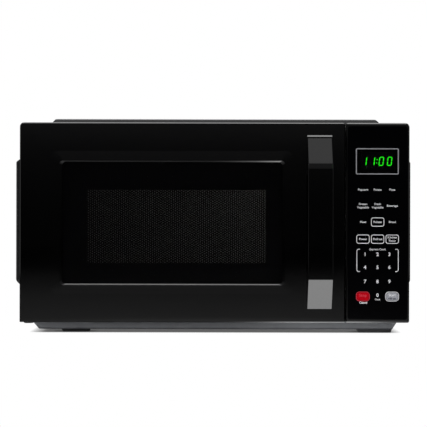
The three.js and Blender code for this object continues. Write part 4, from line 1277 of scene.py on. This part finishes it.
def pressed(first, second):
    """The height of a field, as a share of its rise, from the two slopes' shares."""
    share = max(0.0, 1 - math.hypot(1 - first, 1 - second))
    steep = 1 / (1 - FIELD_EASE)
    if share < FIELD_EASE:
        return steep * share**2 / (2 * FIELD_EASE)
    if share > 1 - FIELD_EASE:
        return 1 - steep * (1 - share) ** 2 / (2 * FIELD_EASE)
    return steep * (share - FIELD_EASE / 2)


def stations(low, high, field, gap=24.0, steps=9):
    """Places from low to high for a grid, closer together on the field's slopes than elsewhere."""
    foot, far, run_low, run_high = field
    first = [foot + run_low * i / steps for i in range(steps + 1)]
    second = [far - run_high * i / steps for i in range(steps, -1, -1)]
    first = [foot - 1] + first + [foot + run_low + 1]
    second = [far - run_high - 1] + second + [far + 1]
    marks = [low] + first + second + [high]
    filled = []
    for here, there in zip(marks, marks[1:]):
        count = max(1, int((there - here) / gap))
        filled += [here + (there - here) * i / count for i in range(count)]
    return filled + [high]


def casing_profile():
    """Round the casing from left to right: (x, z, outward x, outward z, rise, share) at each point."""
    side = CASING_X[1] - SIDE_RISE
    roof = CASING_Z[1] - ROOF_RISE
    up = stations(CASING_Z[0], roof - BEND, SIDE_FIELD_Z)
    across = stations(-side + BEND, side - BEND, ROOF_FIELD_X)

    def bend(way):
        """The corner between a side and the roof, from the side up."""
        points = []
        for i in range(1, BEND_STEPS):
            angle = math.radians(90 * i / BEND_STEPS)
            out = (way * math.cos(angle), math.sin(angle))
            x = way * (side - BEND) + BEND * out[0]
            points.append((x, roof - BEND + BEND * out[1], *out, 0, 0))
        return points

    left = [(-side, z, -1, 0, SIDE_RISE, share_across(z, SIDE_FIELD_Z)) for z in up]
    over = [(x, roof, 0, 1, ROOF_RISE, share_across(x, ROOF_FIELD_X)) for x in across]
    right = [(side, z, 1, 0, SIDE_RISE, share_across(z, SIDE_FIELD_Z)) for z in reversed(up)]
    return left + bend(-1) + over + bend(1)[::-1] + right


def build_casing():
    """One sheet over the sides and the roof, with soft pressed fields and cooling slots."""
    mesh = bmesh.new()
    rows = []
    for y in stations(*CASING_Y, FIELD_Y):
        along = share_across(y, FIELD_Y)
        row = []
        for x, z, out_x, out_z, rise, share in casing_profile():
            height = rise * pressed(along, share)
            row.append(mesh.verts.new(Vector((x + out_x * height, y, z + out_z * height)) * MM))
        rows.append(row)
    for near, far in zip(rows, rows[1:]):
        for i in range(len(near) - 1):
            mesh.faces.new((near[i], near[i + 1], far[i + 1], far[i]))
    casing = piece("casing_wrap", mesh, "casing_paint", "root", ["outer_casing"])
    if casing.data.polygons[0].normal.x > 0:
        casing.data.flip_normals()
    sheet = casing.modifiers.new("sheet", "SOLIDIFY")
    sheet.thickness = CASING_SHEET * MM
    sheet.offset = -1
    cutter = bmesh.new()
    side = CASING_X[1] - SIDE_RISE
    for y in SLOT_YS:
        for x in (-side, side):
            slot = ((y, y + SLOT_WIDTH), SLOT_Z, SLOT_WIDTH * 0.49)
            skin(cutter, [ring(*slot, x - 4, "x"), ring(*slot, x + 4, "x")])
    carve(casing, [cutter])
    casing.data.shade_smooth()
    casing.data.set_sharp_from_angle(angle=math.radians(40))


# -------- All together

build_camera()
build_world()
build_lights()
build_floor()
dress_cad()
build_door_frame()
build_handle()
build_door_screen()
build_cover_beads()
build_latch_coil()
build_cavity_ribs()
build_panel_housing()
build_legends()
build_pills()
build_display()
build_tray()
build_casing()
